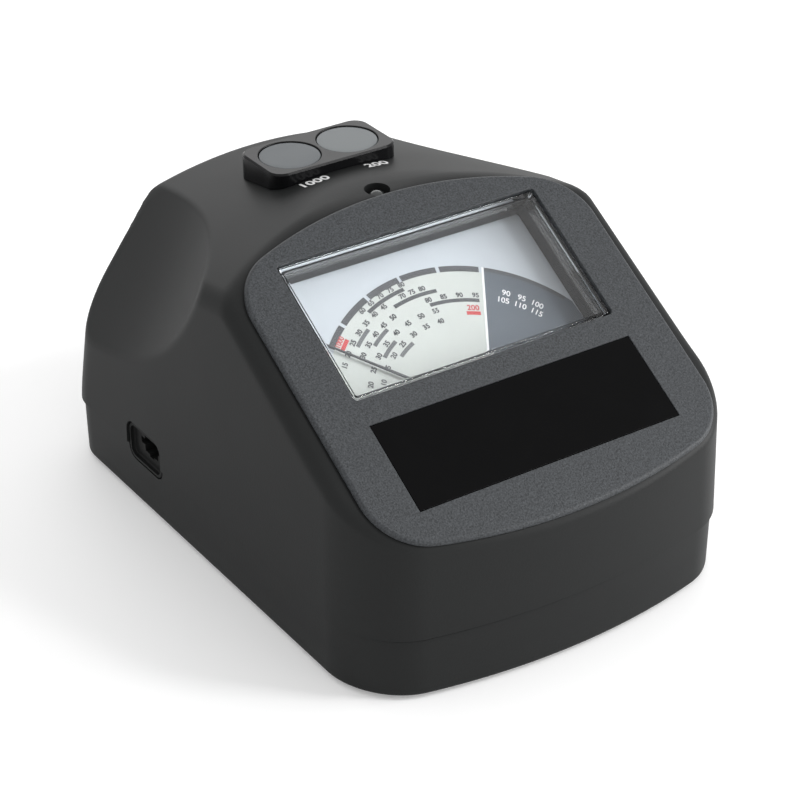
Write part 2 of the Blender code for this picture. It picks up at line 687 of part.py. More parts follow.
def scoop_cutter(side):
    """The solid a hand scoop takes away, straight up its own slope at every point along it."""
    rings = []
    outer = side * BASE_LENGTH
    for height in (BASE_HEIGHT, SCOOP_HEIGHT, CROWN_HEIGHT + CUT_OVERRUN):
        back = SCOOP_START + SCOOP_RAKE_SHARE * (height - SCOOP_RAKE_HEIGHT)
        flat = SCOOP_HALF_WIDTH - scoop_lean(height)
        z = FOOT_PROUD + height
        ring = [(outer, back + SCOOP_REACH, z), (side * flat, back + SCOOP_REACH, z)]
        for step in range(SCOOP_STEPS + 1):
            ahead = 2 * SCOOP_REACH * step / SCOOP_STEPS
            ring.append((side * (flat + float(scoop_spread(ahead))), back - ahead, z))
        ring.append((outer, back - 2 * SCOOP_REACH, z))
        rings.append(ring if side < 0 else list(reversed(ring)))
    return loft(rings)


def solve(distance, origin, direction, far):
    """How far along each ray the distance reaches zero, by halving."""
    near = numpy.zeros(direction.shape[:-1])
    beyond = numpy.full(direction.shape[:-1], far)
    for _ in range(40):
        middle = (near + beyond) / 2
        point = origin + middle[..., None] * direction
        inside = distance(point[..., 0], point[..., 1], point[..., 2]) < 0
        near = numpy.where(inside, middle, near)
        beyond = numpy.where(inside, beyond, middle)
    return (near + beyond) / 2


def spread_by_turning(points, count, turn_weight):
    """Indices, as fractions, that share out a path's length and its turning evenly."""
    step = numpy.diff(points, axis=0)
    length = numpy.linalg.norm(step, axis=1)
    unit = step / length[:, None]
    turn = numpy.zeros(len(length))
    cosine = numpy.clip((unit[1:] * unit[:-1]).sum(axis=1), -1, 1)
    turn[1:] = numpy.arccos(cosine)
    total = numpy.concatenate([[0], numpy.cumsum(length + turn_weight * turn)])
    return numpy.interp(numpy.linspace(0, total[-1], count), total, numpy.arange(len(total)))


def outline_directions(height, inward, steps=OUTLINE_STEPS):
    """Unit directions round the case, closer together where its outline turns."""
    angle = numpy.linspace(-math.pi / 2, math.pi / 2, 721)
    ray = numpy.stack([numpy.cos(angle), numpy.sin(angle), 0 * angle], axis=1)
    origin = numpy.array([0, 0, height])

    def distance(x, y, z):
        return plan_distance(x, y, z - FOOT_PROUD) + inward

    reach = solve(distance, origin, ray, BASE_LENGTH)
    place = spread_by_turning(ray * reach[:, None], steps + 1, TURN_WEIGHT)
    right = numpy.interp(place, numpy.arange(len(angle)), angle)
    left = math.pi - right[1:-1][::-1]
    whole = numpy.concatenate([right, left])
    return numpy.stack([numpy.cos(whole), numpy.sin(whole), 0 * whole], axis=1)


def plan_ring(directions, height, inward, lift=0):
    """The case's outline at a height, drawn in by an amount."""
    def distance(x, y, z):
        return plan_distance(x, y, z - FOOT_PROUD) + inward

    origin = numpy.array([0, 0, height])
    reach = solve(distance, origin, directions, BASE_LENGTH)
    points = origin + directions * reach[:, None]
    return [(float(x), float(y), float(z) + lift) for x, y, z in points]


def case_solid(surface_distance, inward, steps, rows, skirt):
    """The upper case as one closed solid, drawn in by an amount, with a skirt below the parting line."""
    directions = outline_directions(PARTING, 0, steps)
    up = numpy.array([0, 0, 1.0])
    origin = numpy.array([0, 0, PARTING])
    rise = numpy.linspace(0, math.pi / 2, 241)
    ray = numpy.cos(rise)[None, :, None] * directions[:, None, :] + numpy.sin(rise)[None, :, None] * up

    def distance(x, y, z):
        return surface_distance(x, y, z) + inward

    reach = solve(distance, origin, ray, BASE_LENGTH)
    surface = origin + reach[..., None] * ray
    places = numpy.array([spread_by_turning(line, rows, TURN_WEIGHT) for line in surface])
    count = len(directions)
    around = numpy.arange(count)
    smooth = sum(places[(around + shift) % count] for shift in (-1, 0, 1)) / 3
    low = numpy.floor(smooth).astype(int).clip(0, len(rise) - 2)
    share = (smooth - low)[..., None]
    mixed = surface[around[:, None], low] * (1 - share) + surface[around[:, None], low + 1] * share
    rings = []
    if skirt > 0:
        rings.append([(float(p[0]), float(p[1]), PARTING - skirt) for p in mixed[:, 0]])
    for row in range(rows - 1):
        rings.append([tuple(float(v) for v in mixed[i, row]) for i in range(count)])
    rings.append([tuple(float(v) for v in surface[0, -1])])
    return loft(rings)


def make_top_housing(build):
    """Upper case shell with its bosses, meter opening, lamp hole, peg holes and wall cuts."""
    lining = build.cutter(case_solid(case_distance, WALL, LINING_STEPS, LINING_ROWS, CUT_OVERRUN))
    for x in (-CASE_SCREW_X, CASE_SCREW_X):
        for y in (CASE_SCREW_FRONT, CASE_SCREW_BACK):
            boss = rod((x, y), PARTING, PARTING + BASE_LENGTH, BOSS_RADIUS, sides=SMALL_SIDES)
            cut(lining, build.cutter(boss))
    for x in (-EAR_SPREAD, EAR_SPREAD):
        for place in METER_SCREW_PLACES:
            boss = rod((x, place), CONTACT_GAP - EAR_DEPTH, 0, METER_BOSS_RADIUS, sides=SMALL_SIDES)
            cut(lining, build.cutter(boss, build.slope))
    housing = case_solid(uncut_distance, 0, OUTLINE_STEPS, SHELL_ROWS, 0)
    for side in (-1, 1):
        cut(housing, build.cutter(scoop_cutter(side)))
    cut(housing, lining)
    half = WINDOW_WIDTH / 2
    opening = rounded_rectangle((-half, WINDOW_LOW), (half, WINDOW_TOP), WINDOW_CORNER)
    cut(housing, build.cutter(plate(opening, -METER_FACE, 0), build.slope))
    gap = 2 * CONTACT_GAP
    seat = box((-METER_WIDTH / 2 - gap, METER_LOW - gap, -METER_DEPTH - gap),
               (METER_WIDTH / 2 + gap, METER_TOP + gap, CONTACT_GAP / 2 - METER_FACE))
    cut(housing, build.cutter(seat, build.slope))
    lamp = rod((0, 0), -LAMP_HOLDER_RADIUS, LAMP_HOLDER_RADIUS, LAMP_HOLE_RADIUS, sides=ROUND_SIDES)
    cut(housing, build.cutter(lamp, build.brow))
    for x in (-BLOCK_PEG_SPREAD, BLOCK_PEG_SPREAD):
        hole = rod((x, BLOCK_PLACE), PARTING, BASE_LENGTH, BLOCK_PEG_RADIUS + DISC_FIT, sides=SMALL_SIDES)
        cut(housing, build.cutter(hole))
    for x in (-CASE_SCREW_X, CASE_SCREW_X):
        for y in (CASE_SCREW_FRONT, CASE_SCREW_BACK):
            top = FOOT_PROUD + CASE_SCREW_LENGTH + FLOOR
            hole = rod((x, y), 0, top, CASE_SCREW + SCREW_FIT, sides=SMALL_SIDES)
            cut(housing, build.cutter(hole))
    for x in (-EAR_SPREAD, EAR_SPREAD):
        for place in METER_SCREW_PLACES:
            low = -EAR_DEPTH - EAR_THICKNESS
            deep = low + METER_SCREW_LENGTH + SCREW_FIT
            hole = rod((x, place), low, deep, METER_SCREW + SCREW_FIT, sides=SMALL_SIDES)
            cut(housing, build.cutter(hole, build.slope))
    cut(housing, build.cutter(socket_block(SOCKET_DEPTH, LENS_FIT)))
    slot = box((SWITCH_X - SWITCH_SLOT_WIDTH / 2, BOARD_BACK, SWITCH_HEIGHT - SWITCH_SLOT_HEIGHT / 2),
               (SWITCH_X + SWITCH_SLOT_WIDTH / 2, BASE_LENGTH, SWITCH_HEIGHT + SWITCH_SLOT_HEIGHT / 2))
    cut(housing, build.cutter(slot))
    build.part(housing, "top_housing", "case")


def make_base_cover(build):
    """Tray with a lip inside the housing, battery bay, screw posts, board posts and foot recesses."""
    directions = outline_directions(PARTING, 0)
    top = PARTING - PARTING_GAP
    soft = FRONT_RIM_ROUND / 2
    outer = [plan_ring(directions, FOOT_PROUD, soft), plan_ring(directions, FOOT_PROUD + soft, 0)]
    outer += [plan_ring(directions, top, 0)]
    lip_inset = WALL + CONTACT_GAP + PARTING_STEP
    outer += [plan_ring(directions, top, lip_inset), plan_ring(directions, top + WALL, lip_inset)]
    base = loft(outer)
    floor = FOOT_PROUD + FLOOR
    inner_inset = lip_inset + METER_WALL
    mouth = plan_ring(directions, PARTING + CUT_OVERRUN, inner_inset)
    hollow = loft([plan_ring(directions, floor, inner_inset), mouth])
    build.cutter(hollow)
    bay_low, bay_high = bay_corners()
    shell = box((bay_low[0] - BAY_WALL, bay_low[1] - BAY_WALL, 0), [place + BAY_WALL for place in bay_high])
    cut(hollow, build.cutter(shell))
    for x in (-CASE_SCREW_X, CASE_SCREW_X):
        for y in (CASE_SCREW_FRONT, CASE_SCREW_BACK):
            post = rod((x, y), 0, top, BOSS_RADIUS, sides=SMALL_SIDES)
            cut(hollow, build.cutter(post))
    cut(base, hollow)
    for x in (-BOARD_POST_X, BOARD_POST_X):
        for y in (BOARD_POST_FRONT, BOARD_POST_BACK):
            post_top = BOARD_HEIGHT - CONTACT_GAP
            post = rod((x, y), floor - FLOOR / 2, post_top, BOARD_POST_RADIUS, sides=SMALL_SIDES)
            cut(base, build.cutter(post), "UNION")
    cut(base, build.cutter(box(bay_low, bay_high)))
    rebate_top = FOOT_PROUD + DOOR_THICKNESS + DOOR_FIT
    side = DOOR_HALF_WIDTH + DOOR_FIT
    rebate = box((-side, DOOR_FRONT - DOOR_FIT, 0), (side, BASE_LENGTH, rebate_top))
    groove_low = FOOT_PROUD + DOOR_THICKNESS - DOOR_TONGUE_THICKNESS - DOOR_FIT
    groove = box((-side - DOOR_TONGUE, DOOR_FRONT - DOOR_FIT, groove_low),
                 (side + DOOR_TONGUE, BASE_LENGTH, rebate_top))
    cut(base, build.cutter(rebate))
    cut(base, build.cutter(groove))
    for x in (-CASE_SCREW_X, CASE_SCREW_X):
        for y in (CASE_SCREW_FRONT, CASE_SCREW_BACK):
            hole = rod((x, y), 0, PARTING + CUT_OVERRUN, CASE_SCREW + SCREW_FIT, sides=SMALL_SIDES)
            deep = FOOT_PROUD + SCREW_HEAD_HEIGHT + SCREW_FIT
            sink = rod((x, y), 0, deep, CASE_SCREW_HEAD + SCREW_FIT, sides=SMALL_SIDES)
            cut(base, build.cutter(hole))
            cut(base, build.cutter(sink))
    for x in (-BOARD_POST_X, BOARD_POST_X):
        high = BOARD_HEIGHT + CUT_OVERRUN
        hole = rod((x, BOARD_POST_FRONT), floor, high, METER_SCREW + SCREW_FIT, sides=SMALL_SIDES)
        cut(base, build.cutter(hole))
    for x in (-FOOT_X, FOOT_X):
        for y in (FOOT_FRONT, FOOT_BACK):
            recess = rod((x, y), 0, FOOT_PROUD + FOOT_SINK, FOOT_RADIUS + SCREW_FIT, sides=SMALL_SIDES)
            cut(base, build.cutter(recess))
    cut(base, build.cutter(socket_block(SOCKET_DEPTH, LENS_FIT)))
    build.part(base, "base_cover", "case")


def bay_corners():
    """Inside corners of the battery bay."""
    return (-BAY_HALF_WIDTH, BAY_FRONT, 0), (BAY_HALF_WIDTH, BAY_FRONT + BAY_LENGTH, BAY_TOP)


def make_feet_and_case_screws(build):
    """Rubber feet and the screws that close the case."""
    ends = (("front", FOOT_FRONT, CASE_SCREW_FRONT), ("back", FOOT_BACK, CASE_SCREW_BACK))
    for side, x in (("left", -1), ("right", 1)):
        for end, foot_y, screw_y in ends:
            top = FOOT_PROUD + FOOT_SINK - SCREW_FIT / 2
            profile = [(0, top), (FOOT_RADIUS, top), (FOOT_RADIUS, FOOT_PROUD / 2)]
            profile += [(FOOT_RADIUS - FOOT_PROUD / 2, 0), (0, 0)]
            foot = turned(profile, SMALL_SIDES)
            foot.location = (x * FOOT_X, foot_y, 0)
            build.part(foot, f"foot_{end}_{side}", "rubber")
            screw = make_screw(CASE_SCREW, CASE_SCREW_HEAD, CASE_SCREW_LENGTH)
            screw.location = (x * CASE_SCREW_X, screw_y, FOOT_PROUD + SCREW_HEAD_HEIGHT)
            build.part(screw, f"case_screw_{end}_{side}", "steel")
            cut_slot(build, screw, CASE_SCREW_HEAD)


def make_screw(radius, head_radius, length):
    """A pan head screw standing head down, its head's top face at its origin."""
    tip = radius / 2
    crown = head_radius * SCREW_CROWN_SHARE
    profile = [(0, length), (tip, length), (radius, length - radius), (radius, 0), (head_radius, 0)]
    profile += [(head_radius, -SCREW_HEAD_HEIGHT / 2), (crown, -SCREW_HEAD_HEIGHT), (0, -SCREW_HEAD_HEIGHT)]
    return turned(profile, SMALL_SIDES)


def cut_slot(build, screw, head_radius):
    """A driver slot across a screw's head."""
    half = SCREW_SLOT / 2
    tool = box((-half, -2 * head_radius, -2 * SCREW_HEAD_HEIGHT),
               (half, 2 * head_radius, -SCREW_HEAD_HEIGHT / 2))
    build.cutter(tool, screw)
    cut(screw, tool)


def make_front_panel(build):
    """Textured panel on the slope, with the window and the name plate's recess."""
    outline = arched_outline(PANEL_HALF_WIDTH, PANEL_LOW, PANEL_TOP, PANEL_LOW_ARC_RADIUS,
                             PANEL_TOP_ARC_RADIUS, PANEL_LOW_CORNER, PANEL_TOP_CORNER)
    rings = [[(x, y, -PANEL_THICKNESS) for x, y in outline]]
    steps = 4
    for i in range(steps + 1):
        angle = math.pi / 2 * i / steps
        amount = PANEL_EDGE_ROUND * (1 - math.cos(angle))
        height = PANEL_EDGE_ROUND * (math.sin(angle) - 1)
        rings.append([(x, y, height) for x, y in inset(outline, amount)])
    panel = loft(rings)
    half = WINDOW_WIDTH / 2
    opening = rounded_rectangle((-half, WINDOW_LOW), (half, WINDOW_TOP), WINDOW_CORNER)
    cut(panel, build.cutter(plate(opening, -METER_FACE, METER_FACE), build.slope))
    half = PLATE_WIDTH / 2 + PLATE_FIT
    depth = PLATE_SINK + PLATE_THICKNESS + PLATE_FIT
    recess = box((-half, PLATE_LOW - PLATE_FIT, -depth), (half, PLATE_TOP + PLATE_FIT, METER_FACE))
    cut(panel, build.cutter(recess, build.slope))
    build.part(panel, "front_panel", "panel", build.slope)
    name = box((-PLATE_WIDTH / 2, PLATE_LOW, -PLATE_SINK - PLATE_THICKNESS),
               (PLATE_WIDTH / 2, PLATE_TOP, -PLATE_SINK))
    build.part(name, "name_plate", "plate", build.slope)


def make_meter_shell(build):
    """Clear lens, moulded case with ears, and the dial on its ledge."""
    half = WINDOW_WIDTH / 2 - LENS_FIT
    low = WINDOW_LOW + LENS_FIT
    top = WINDOW_TOP - LENS_FIT
    outline = rounded_rectangle((-half, low), (half, top), WINDOW_CORNER - LENS_FIT)
    lens = plate(outline, -METER_FACE - LENS_FLANGE / 2, -LENS_SINK)
    flange = box((-METER_WIDTH / 2, METER_LOW, -METER_FACE - LENS_FLANGE),
                 (METER_WIDTH / 2, METER_TOP, -METER_FACE))
    cut(lens, build.cutter(flange, build.slope), "UNION")
    well = box((-half + LENS_WALL, low + LENS_WALL, -CASE_FACE),
               (half - LENS_WALL, top - LENS_WALL, -LENS_SINK - LENS_THICKNESS))
    cut(lens, build.cutter(well, build.slope))
    build.part(lens, "meter_lens", "clear", build.slope)

    outline = rounded_rectangle((-METER_WIDTH / 2, METER_LOW), (METER_WIDTH / 2, METER_TOP), METER_CORNER)
    case = plate(outline, -METER_DEPTH, -CASE_FACE)
    for x in (-EAR_SPREAD, EAR_SPREAD):
        for place in METER_SCREW_PLACES:
            reach = EAR_REACH / 2
            ear = box((x - EAR_WIDTH / 2, place - reach - CONTACT_GAP, -EAR_DEPTH - EAR_THICKNESS),
                      (x + EAR_WIDTH / 2, place + reach + CONTACT_GAP, -EAR_DEPTH))
            cut(case, build.cutter(ear, build.slope), "UNION")
    room = METER_WIDTH / 2 - METER_WALL
    shelf = DIAL_DEPTH + DIAL_THICKNESS + DIAL_FIT
    wide = box((-room, METER_LOW + METER_WALL, -shelf), (room, METER_TOP - METER_WALL, 0))
    deep = box((-room + DIAL_LEDGE, METER_LOW + METER_WALL + DIAL_LEDGE, METER_WALL - METER_DEPTH),
               (room - DIAL_LEDGE, METER_TOP - METER_WALL - DIAL_LEDGE, 0))
    pad_top = -RING_DEPTH - RING_HEIGHT - CONTACT_GAP
    pad_high = box((-RING_RADIUS, PIVOT_PLACE + RING_BORE, -METER_DEPTH),
                   (RING_RADIUS, PIVOT_PLACE + RING_RADIUS, pad_top))
    pad_low = box((-RING_RADIUS, METER_LOW, -METER_DEPTH), (RING_RADIUS, PIVOT_PLACE - RING_BORE, pad_top))
    cut(deep, build.cutter(pad_high, build.slope))
    cut(deep, build.cutter(pad_low, build.slope))
    cut(case, build.cutter(wide, build.slope))
    cut(case, build.cutter(deep, build.slope))
    for x in (-EAR_SPREAD, EAR_SPREAD):
        for place in METER_SCREW_PLACES:
            hole = rod((x, place), -METER_DEPTH, 0, METER_SCREW + SCREW_FIT, sides=SMALL_SIDES)
            cut(case, build.cutter(hole, build.slope))
    for x in (-DIAL_SCREW_SPREAD, DIAL_SCREW_SPREAD):
        under = METER_WALL / 2 - METER_DEPTH
        floor = rod((x, DIAL_SCREW_PLACE), under, -shelf, METER_BOSS_RADIUS, sides=SMALL_SIDES)
        cut(case, build.cutter(floor, build.slope), "UNION")
        deep = -shelf - METER_SCREW_LENGTH
        hole = rod((x, DIAL_SCREW_PLACE), deep, 0, METER_SCREW + SCREW_FIT, sides=SMALL_SIDES)
        cut(case, build.cutter(hole, build.slope))
    build.part(case, "meter_case", "meter", build.slope)

    edge = DIAL_EDGE
    frame = box((-edge, DIAL_LOW, DIAL_FIT - DIAL_DEPTH), (edge, DIAL_TOP, -CASE_FACE))
    inside = box((DIAL_FRAME - edge, DIAL_LOW - CUT_OVERRUN, -METER_DEPTH),
                 (edge - DIAL_FRAME, DIAL_TOP - DIAL_FRAME, 0))
    cut(frame, build.cutter(inside, build.slope))
    build.part(frame, "dial_frame", "meter", build.slope)
    dial = box((-edge, DIAL_LOW, -DIAL_DEPTH - DIAL_THICKNESS), (edge, DIAL_TOP, -DIAL_DEPTH))
    half_tall = DIAL_HOLE_HEIGHT / 2
    hole = box((-DIAL_HOLE_WIDTH / 2, PIVOT_PLACE - half_tall, -METER_DEPTH),
               (DIAL_HOLE_WIDTH / 2, PIVOT_PLACE + half_tall, 0))
    cut(dial, build.cutter(hole, build.slope))
    for side, x in (("left", -DIAL_SCREW_SPREAD), ("right", DIAL_SCREW_SPREAD)):
        hole = rod((x, DIAL_SCREW_PLACE), -METER_DEPTH, 0, METER_SCREW + SCREW_FIT, sides=SMALL_SIDES)
        cut(dial, build.cutter(hole, build.slope))
        screw = make_screw(METER_SCREW, DIAL_SCREW_HEAD, METER_SCREW_LENGTH)
        screw.rotation_euler = (math.pi, 0, 0)
        screw.location = (x, DIAL_SCREW_PLACE, SCREW_FIT - DIAL_DEPTH)
        build.part(screw, f"dial_screw_{side}", "steel", build.slope)
        cut_slot(build, screw, DIAL_SCREW_HEAD)
    build.part(dial, "dial_plate", "card", build.slope)

    for side, x in (("left", -EAR_SPREAD), ("right", EAR_SPREAD)):
        for end, place in zip(("low", "high"), METER_SCREW_PLACES):
            screw = make_screw(METER_SCREW, METER_SCREW_HEAD, METER_SCREW_LENGTH - SCREW_FIT)
            screw.location = (x, place, -EAR_DEPTH - EAR_THICKNESS - SCREW_FIT)
            build.part(screw, f"meter_screw_{end}_{side}", "steel", build.slope)
            cut_slot(build, screw, METER_SCREW_HEAD)


def make_meter_movement(build):
    """Fixed half of the movement: ring, magnet core and its supports, bridges, jewels and hairsprings."""
    center = (0, PIVOT_PLACE)
    ring = rod(center, -RING_DEPTH - RING_HEIGHT, -RING_DEPTH, RING_RADIUS)
    cut(ring, build.cutter(rod(center, -METER_DEPTH, 0, RING_BORE), build.slope))
    build.part(ring, "yoke_ring", "iron", build.slope)
    core = rod(center, -CORE_DEPTH - CORE_HEIGHT, -CORE_DEPTH, CORE_RADIUS)
    build.part(core, "core_magnet", "magnet", build.slope)
    middle = CORE_DEPTH + CORE_HEIGHT / 2
    for name, sign in (("core_support_low", -1), ("core_support_high", 1)):
        block = box((-CORE_SUPPORT_WIDTH / 2, PIVOT_PLACE - RING_BORE, -middle - CORE_SUPPORT_HEIGHT / 2),
                    (CORE_SUPPORT_WIDTH / 2, PIVOT_PLACE + RING_BORE, -middle + CORE_SUPPORT_HEIGHT / 2))
        keep = rod(center, -METER_DEPTH, 0, RING_BORE - CONTACT_GAP)
        away = rod(center, -METER_DEPTH, 0, CORE_RADIUS + CONTACT_GAP)
        if sign < 0:
            near, far = PIVOT_PLACE, PIVOT_PLACE + RING_RADIUS
        else:
            near, far = PIVOT_PLACE - RING_RADIUS, PIVOT_PLACE
        other = box((-RING_RADIUS, near, -METER_DEPTH), (RING_RADIUS, far, 0))
        cut(block, build.cutter(keep, build.slope), "INTERSECT")
        cut(block, build.cutter(away, build.slope))
        cut(block, build.cutter(other, build.slope))
        build.part(block, name, "brass", build.slope)
    leg_place = (RING_RADIUS + RING_BORE) / 2
    reach = leg_place + BRIDGE_LEG / 2
    across = BRIDGE_BREADTH / 2
    under_ring = RING_DEPTH + RING_HEIGHT + CONTACT_GAP
    bars = (("upper_bridge", UPPER_BRIDGE_DEPTH, UPPER_BRIDGE_DEPTH, RING_DEPTH - CONTACT_GAP),
            ("lower_bridge", LOWER_BRIDGE_DEPTH, under_ring, LOWER_BRIDGE_DEPTH + BRIDGE_THICKNESS))
    for name, bar_depth, shallow, deep in bars:
        bridge = box((-reach, PIVOT_PLACE - across, -bar_depth - BRIDGE_THICKNESS),
                     (reach, PIVOT_PLACE + across, -bar_depth))
        for x in (-leg_place, leg_place):
            leg = box((x - BRIDGE_LEG / 2, PIVOT_PLACE - across, -deep),
                      (x + BRIDGE_LEG / 2, PIVOT_PLACE + across, -shallow))
            cut(bridge, build.cutter(leg, build.slope), "UNION")
        eye = rod(center, -METER_DEPTH, 0, JEWEL_RADIUS + JEWEL_FIT, sides=SMALL_SIDES)
        cut(bridge, build.cutter(eye, build.slope))
        build.part(bridge, name, "brass", build.slope)
    jewel_cup = STAFF_RADIUS + STAFF_FIT
    mouths = (("jewel_screw_upper", staff_ends()[0], 1), ("jewel_screw_lower", staff_ends()[3], -1))
    for name, mouth, sign in mouths:
        far = JEWEL_LENGTH
        profile = [(0, far), (JEWEL_RADIUS, far), (JEWEL_RADIUS, 0), (jewel_cup, 0), (0, jewel_cup)]
        jewel = turned(profile, SMALL_SIDES)
        jewel.location = (0, PIVOT_PLACE, -mouth + sign * STAFF_FIT)
        jewel.rotation_euler = (0 if sign > 0 else math.pi, 0, 0)
        build.part(jewel, name, "brass", build.slope)
    for name, depth in (("hairspring_upper", UPPER_SPRING_DEPTH), ("hairspring_lower", LOWER_SPRING_DEPTH)):
        build.part(make_hairspring(depth), name, "copper", build.slope)


def staff_ends():
    """Depths of the upper staff's tip and foot, then of the lower staff's foot and tip."""
    upper_tip = UPPER_BRIDGE_DEPTH + BRIDGE_THICKNESS
    lower_tip = LOWER_BRIDGE_DEPTH
    return upper_tip, COIL_TOP - CONTACT_GAP, COIL_BOTTOM + CONTACT_GAP, lower_tip


def make_hairspring(depth):
    """A flat spiral of wire round the staff."""
    steps = 18 * HAIRSPRING_TURNS
    curve = bpy.data.curves.new("hairspring", "CURVE")
    curve.dimensions = "3D"
    curve.bevel_depth = HAIRSPRING_WIRE
    curve.bevel_resolution = 0
    curve.use_fill_caps = True
    line = curve.splines.new("POLY")
    line.points.add(steps)
    for i in range(steps + 1):
        share = i / steps
        radius = HAIRSPRING_INSIDE + (HAIRSPRING_OUTSIDE - HAIRSPRING_INSIDE) * share
        angle = math.tau * HAIRSPRING_TURNS * share
        line.points[i].co = (radius * math.cos(angle), PIVOT_PLACE + radius * math.sin(angle), -depth, 1.0)
    return curve_to_mesh("hairspring", curve)


def curve_to_mesh(name, curve):
    """Turn a curve into a closed mesh object."""
    item = bpy.data.objects.new(name, curve)
    bpy.context.scene.collection.objects.link(item)
    bpy.context.view_layer.update()
    graph = bpy.context.evaluated_depsgraph_get()
    mesh = bpy.data.meshes.new_from_object(item.evaluated_get(graph))
    bpy.data.objects.remove(item, do_unlink=True)
    mesh_data = bmesh.new()
    mesh_data.from_mesh(mesh)
    bmesh.ops.remove_doubles(mesh_data, verts=mesh_data.verts, dist=MERGE_DISTANCE)
    return from_bmesh(name, mesh_data)


def make_pointer(build):
    """Swinging half of the movement, on an empty at the pivot turned to rest at the left."""
    swing = bpy.data.objects.new("needle_pivot", None)
    build.parts.objects.link(swing)
    swing.parent = build.slope
    swing.location = (0, PIVOT_PLACE, 0)
    swing.rotation_euler = (0, 0, NEEDLE_REST)
    top = -NEEDLE_DEPTH
    low = top - NEEDLE_THICKNESS
    root = NEEDLE_ROOT_WIDTH / 2
    tip = NEEDLE_TIP_WIDTH / 2
    tail = NEEDLE_TAIL_WIDTH / 2
    outline = [(tail, -NEEDLE_TAIL), (tail, -NEEDLE_TAIL / 2), (root, 0), (tip, NEEDLE_LENGTH)]
    outline += [(-x, y) for x, y in reversed(outline)]
    needle = plate(outline, low, top)
    hub = rod((0, 0), low - NEEDLE_THICKNESS, top + NEEDLE_THICKNESS, NEEDLE_HUB_RADIUS, sides=SMALL_SIDES)
    cut(needle, build.cutter(hub, swing), "UNION")
    bore = rod((0, 0), -METER_DEPTH, 0, STAFF_RADIUS + STAFF_FIT, sides=SMALL_SIDES)
    cut(needle, build.cutter(bore, swing))
    build.part(needle, "needle", "ink", swing)
    reach = COIL_INSIDE + COIL_BAR
    across = COIL_BREADTH / 2
    coil = box((-reach, -across, -COIL_BOTTOM), (reach, across, -COIL_TOP))
    room = box((-COIL_INSIDE, -COIL_BREADTH, COIL_BAR - COIL_BOTTOM),
               (COIL_INSIDE, COIL_BREADTH, -COIL_BAR - COIL_TOP))
    for item in (coil, room):
        item.rotation_euler = (0, 0, COIL_TURN)
    cut(coil, build.cutter(room, swing))
    build.part(coil, "moving_coil", "copper", swing)
    upper_tip, upper_foot, lower_foot, lower_tip = staff_ends()
    staffs = (("staff_upper", upper_foot, upper_tip), ("staff_lower", lower_tip, lower_foot))
    for name, deep, shallow in staffs:
        staff = rod((0, 0), -deep, -shallow, STAFF_RADIUS, sides=SMALL_SIDES)
        build.part(staff, name, "steel", swing)


def make_disc_block(build):
    """Block on the crown with its pegs and the two test discs."""
    half_width = BLOCK_WIDTH / 2
    half_depth = BLOCK_DEPTH / 2
    low = (-half_width, BLOCK_PLACE - half_depth)
    high = (half_width, BLOCK_PLACE + half_depth)
    outline = rounded_rectangle(low, high, BLOCK_CORNER)
    top = FOOT_PROUD + BLOCK_TOP
    block = plate(outline, PARTING, top)
    soften(block, BLOCK_EDGE, 2, math.radians(60))
    cut(block, build.cutter(case_solid(uncut_distance, -CONTACT_GAP, LINING_STEPS, SHELL_ROWS, CUT_OVERRUN)))
    for x in (-BLOCK_PEG_SPREAD, BLOCK_PEG_SPREAD):
        under = top - DISC_THICKNESS - 2 * DISC_SINK
        foot = under - 2 * DISC_THICKNESS - WALL
        peg = rod((x, BLOCK_PLACE), foot, under - DISC_FIT, BLOCK_PEG_RADIUS, sides=SMALL_SIDES)
        cut(block, build.cutter(peg), "UNION")
    discs = (("glass_disc", "disc_glass", -DISC_SPACING / 2),
             ("calibration_disc", "disc_metal", DISC_SPACING / 2))
    for name, finish, x in discs:
        low = top - DISC_SINK - DISC_THICKNESS
        pocket = rod((x, BLOCK_PLACE), low - DISC_FIT, top + DISC_THICKNESS, DISC_RADIUS + DISC_FIT)
        cut(block, build.cutter(pocket))
        edge = DISC_SINK
        profile = [(0, low + DISC_THICKNESS), (DISC_RADIUS - edge, low + DISC_THICKNESS),
                   (DISC_RADIUS, low + DISC_THICKNESS - edge), (DISC_RADIUS, low), (0, low)]
        disc = turned(profile, ROUND_SIDES)
        disc.location = (x, BLOCK_PLACE, 0)
        build.part(disc, name, finish)
    build.part(block, "disc_block", "block")


def make_lamp(build):
    """Indicator lamp and the ring that holds it under the brow."""
    radius = LAMP_RADIUS
    bottom = -LAMP_SINK - LAMP_LENGTH
    profile = []
    for angle in numpy.linspace(0, math.pi / 2, 7):
        height = radius * math.cos(angle) - LAMP_SINK - radius
        profile.append((float(radius * math.sin(angle)), float(height)))
    profile += [(radius, bottom), (LAMP_FLANGE_RADIUS, bottom)]
    profile += [(LAMP_FLANGE_RADIUS, bottom - LAMP_FLANGE), (0, bottom - LAMP_FLANGE)]
    lamp = turned(profile, SMALL_SIDES + 4)
    build.part(lamp, "indicator_lamp", "lamp", build.brow)
    holder = rod((0, 0), bottom + LAMP_FIT, -LAMP_HOLDER_TOP, LAMP_HOLDER_RADIUS, sides=SMALL_SIDES + 4)
    bore = rod((0, 0), -METER_DEPTH, 0, LAMP_RADIUS + LAMP_FIT, sides=SMALL_SIDES + 4)
    cut(holder, build.cutter(bore, build.brow))
    build.part(holder, "lamp_holder", "meter", build.brow)


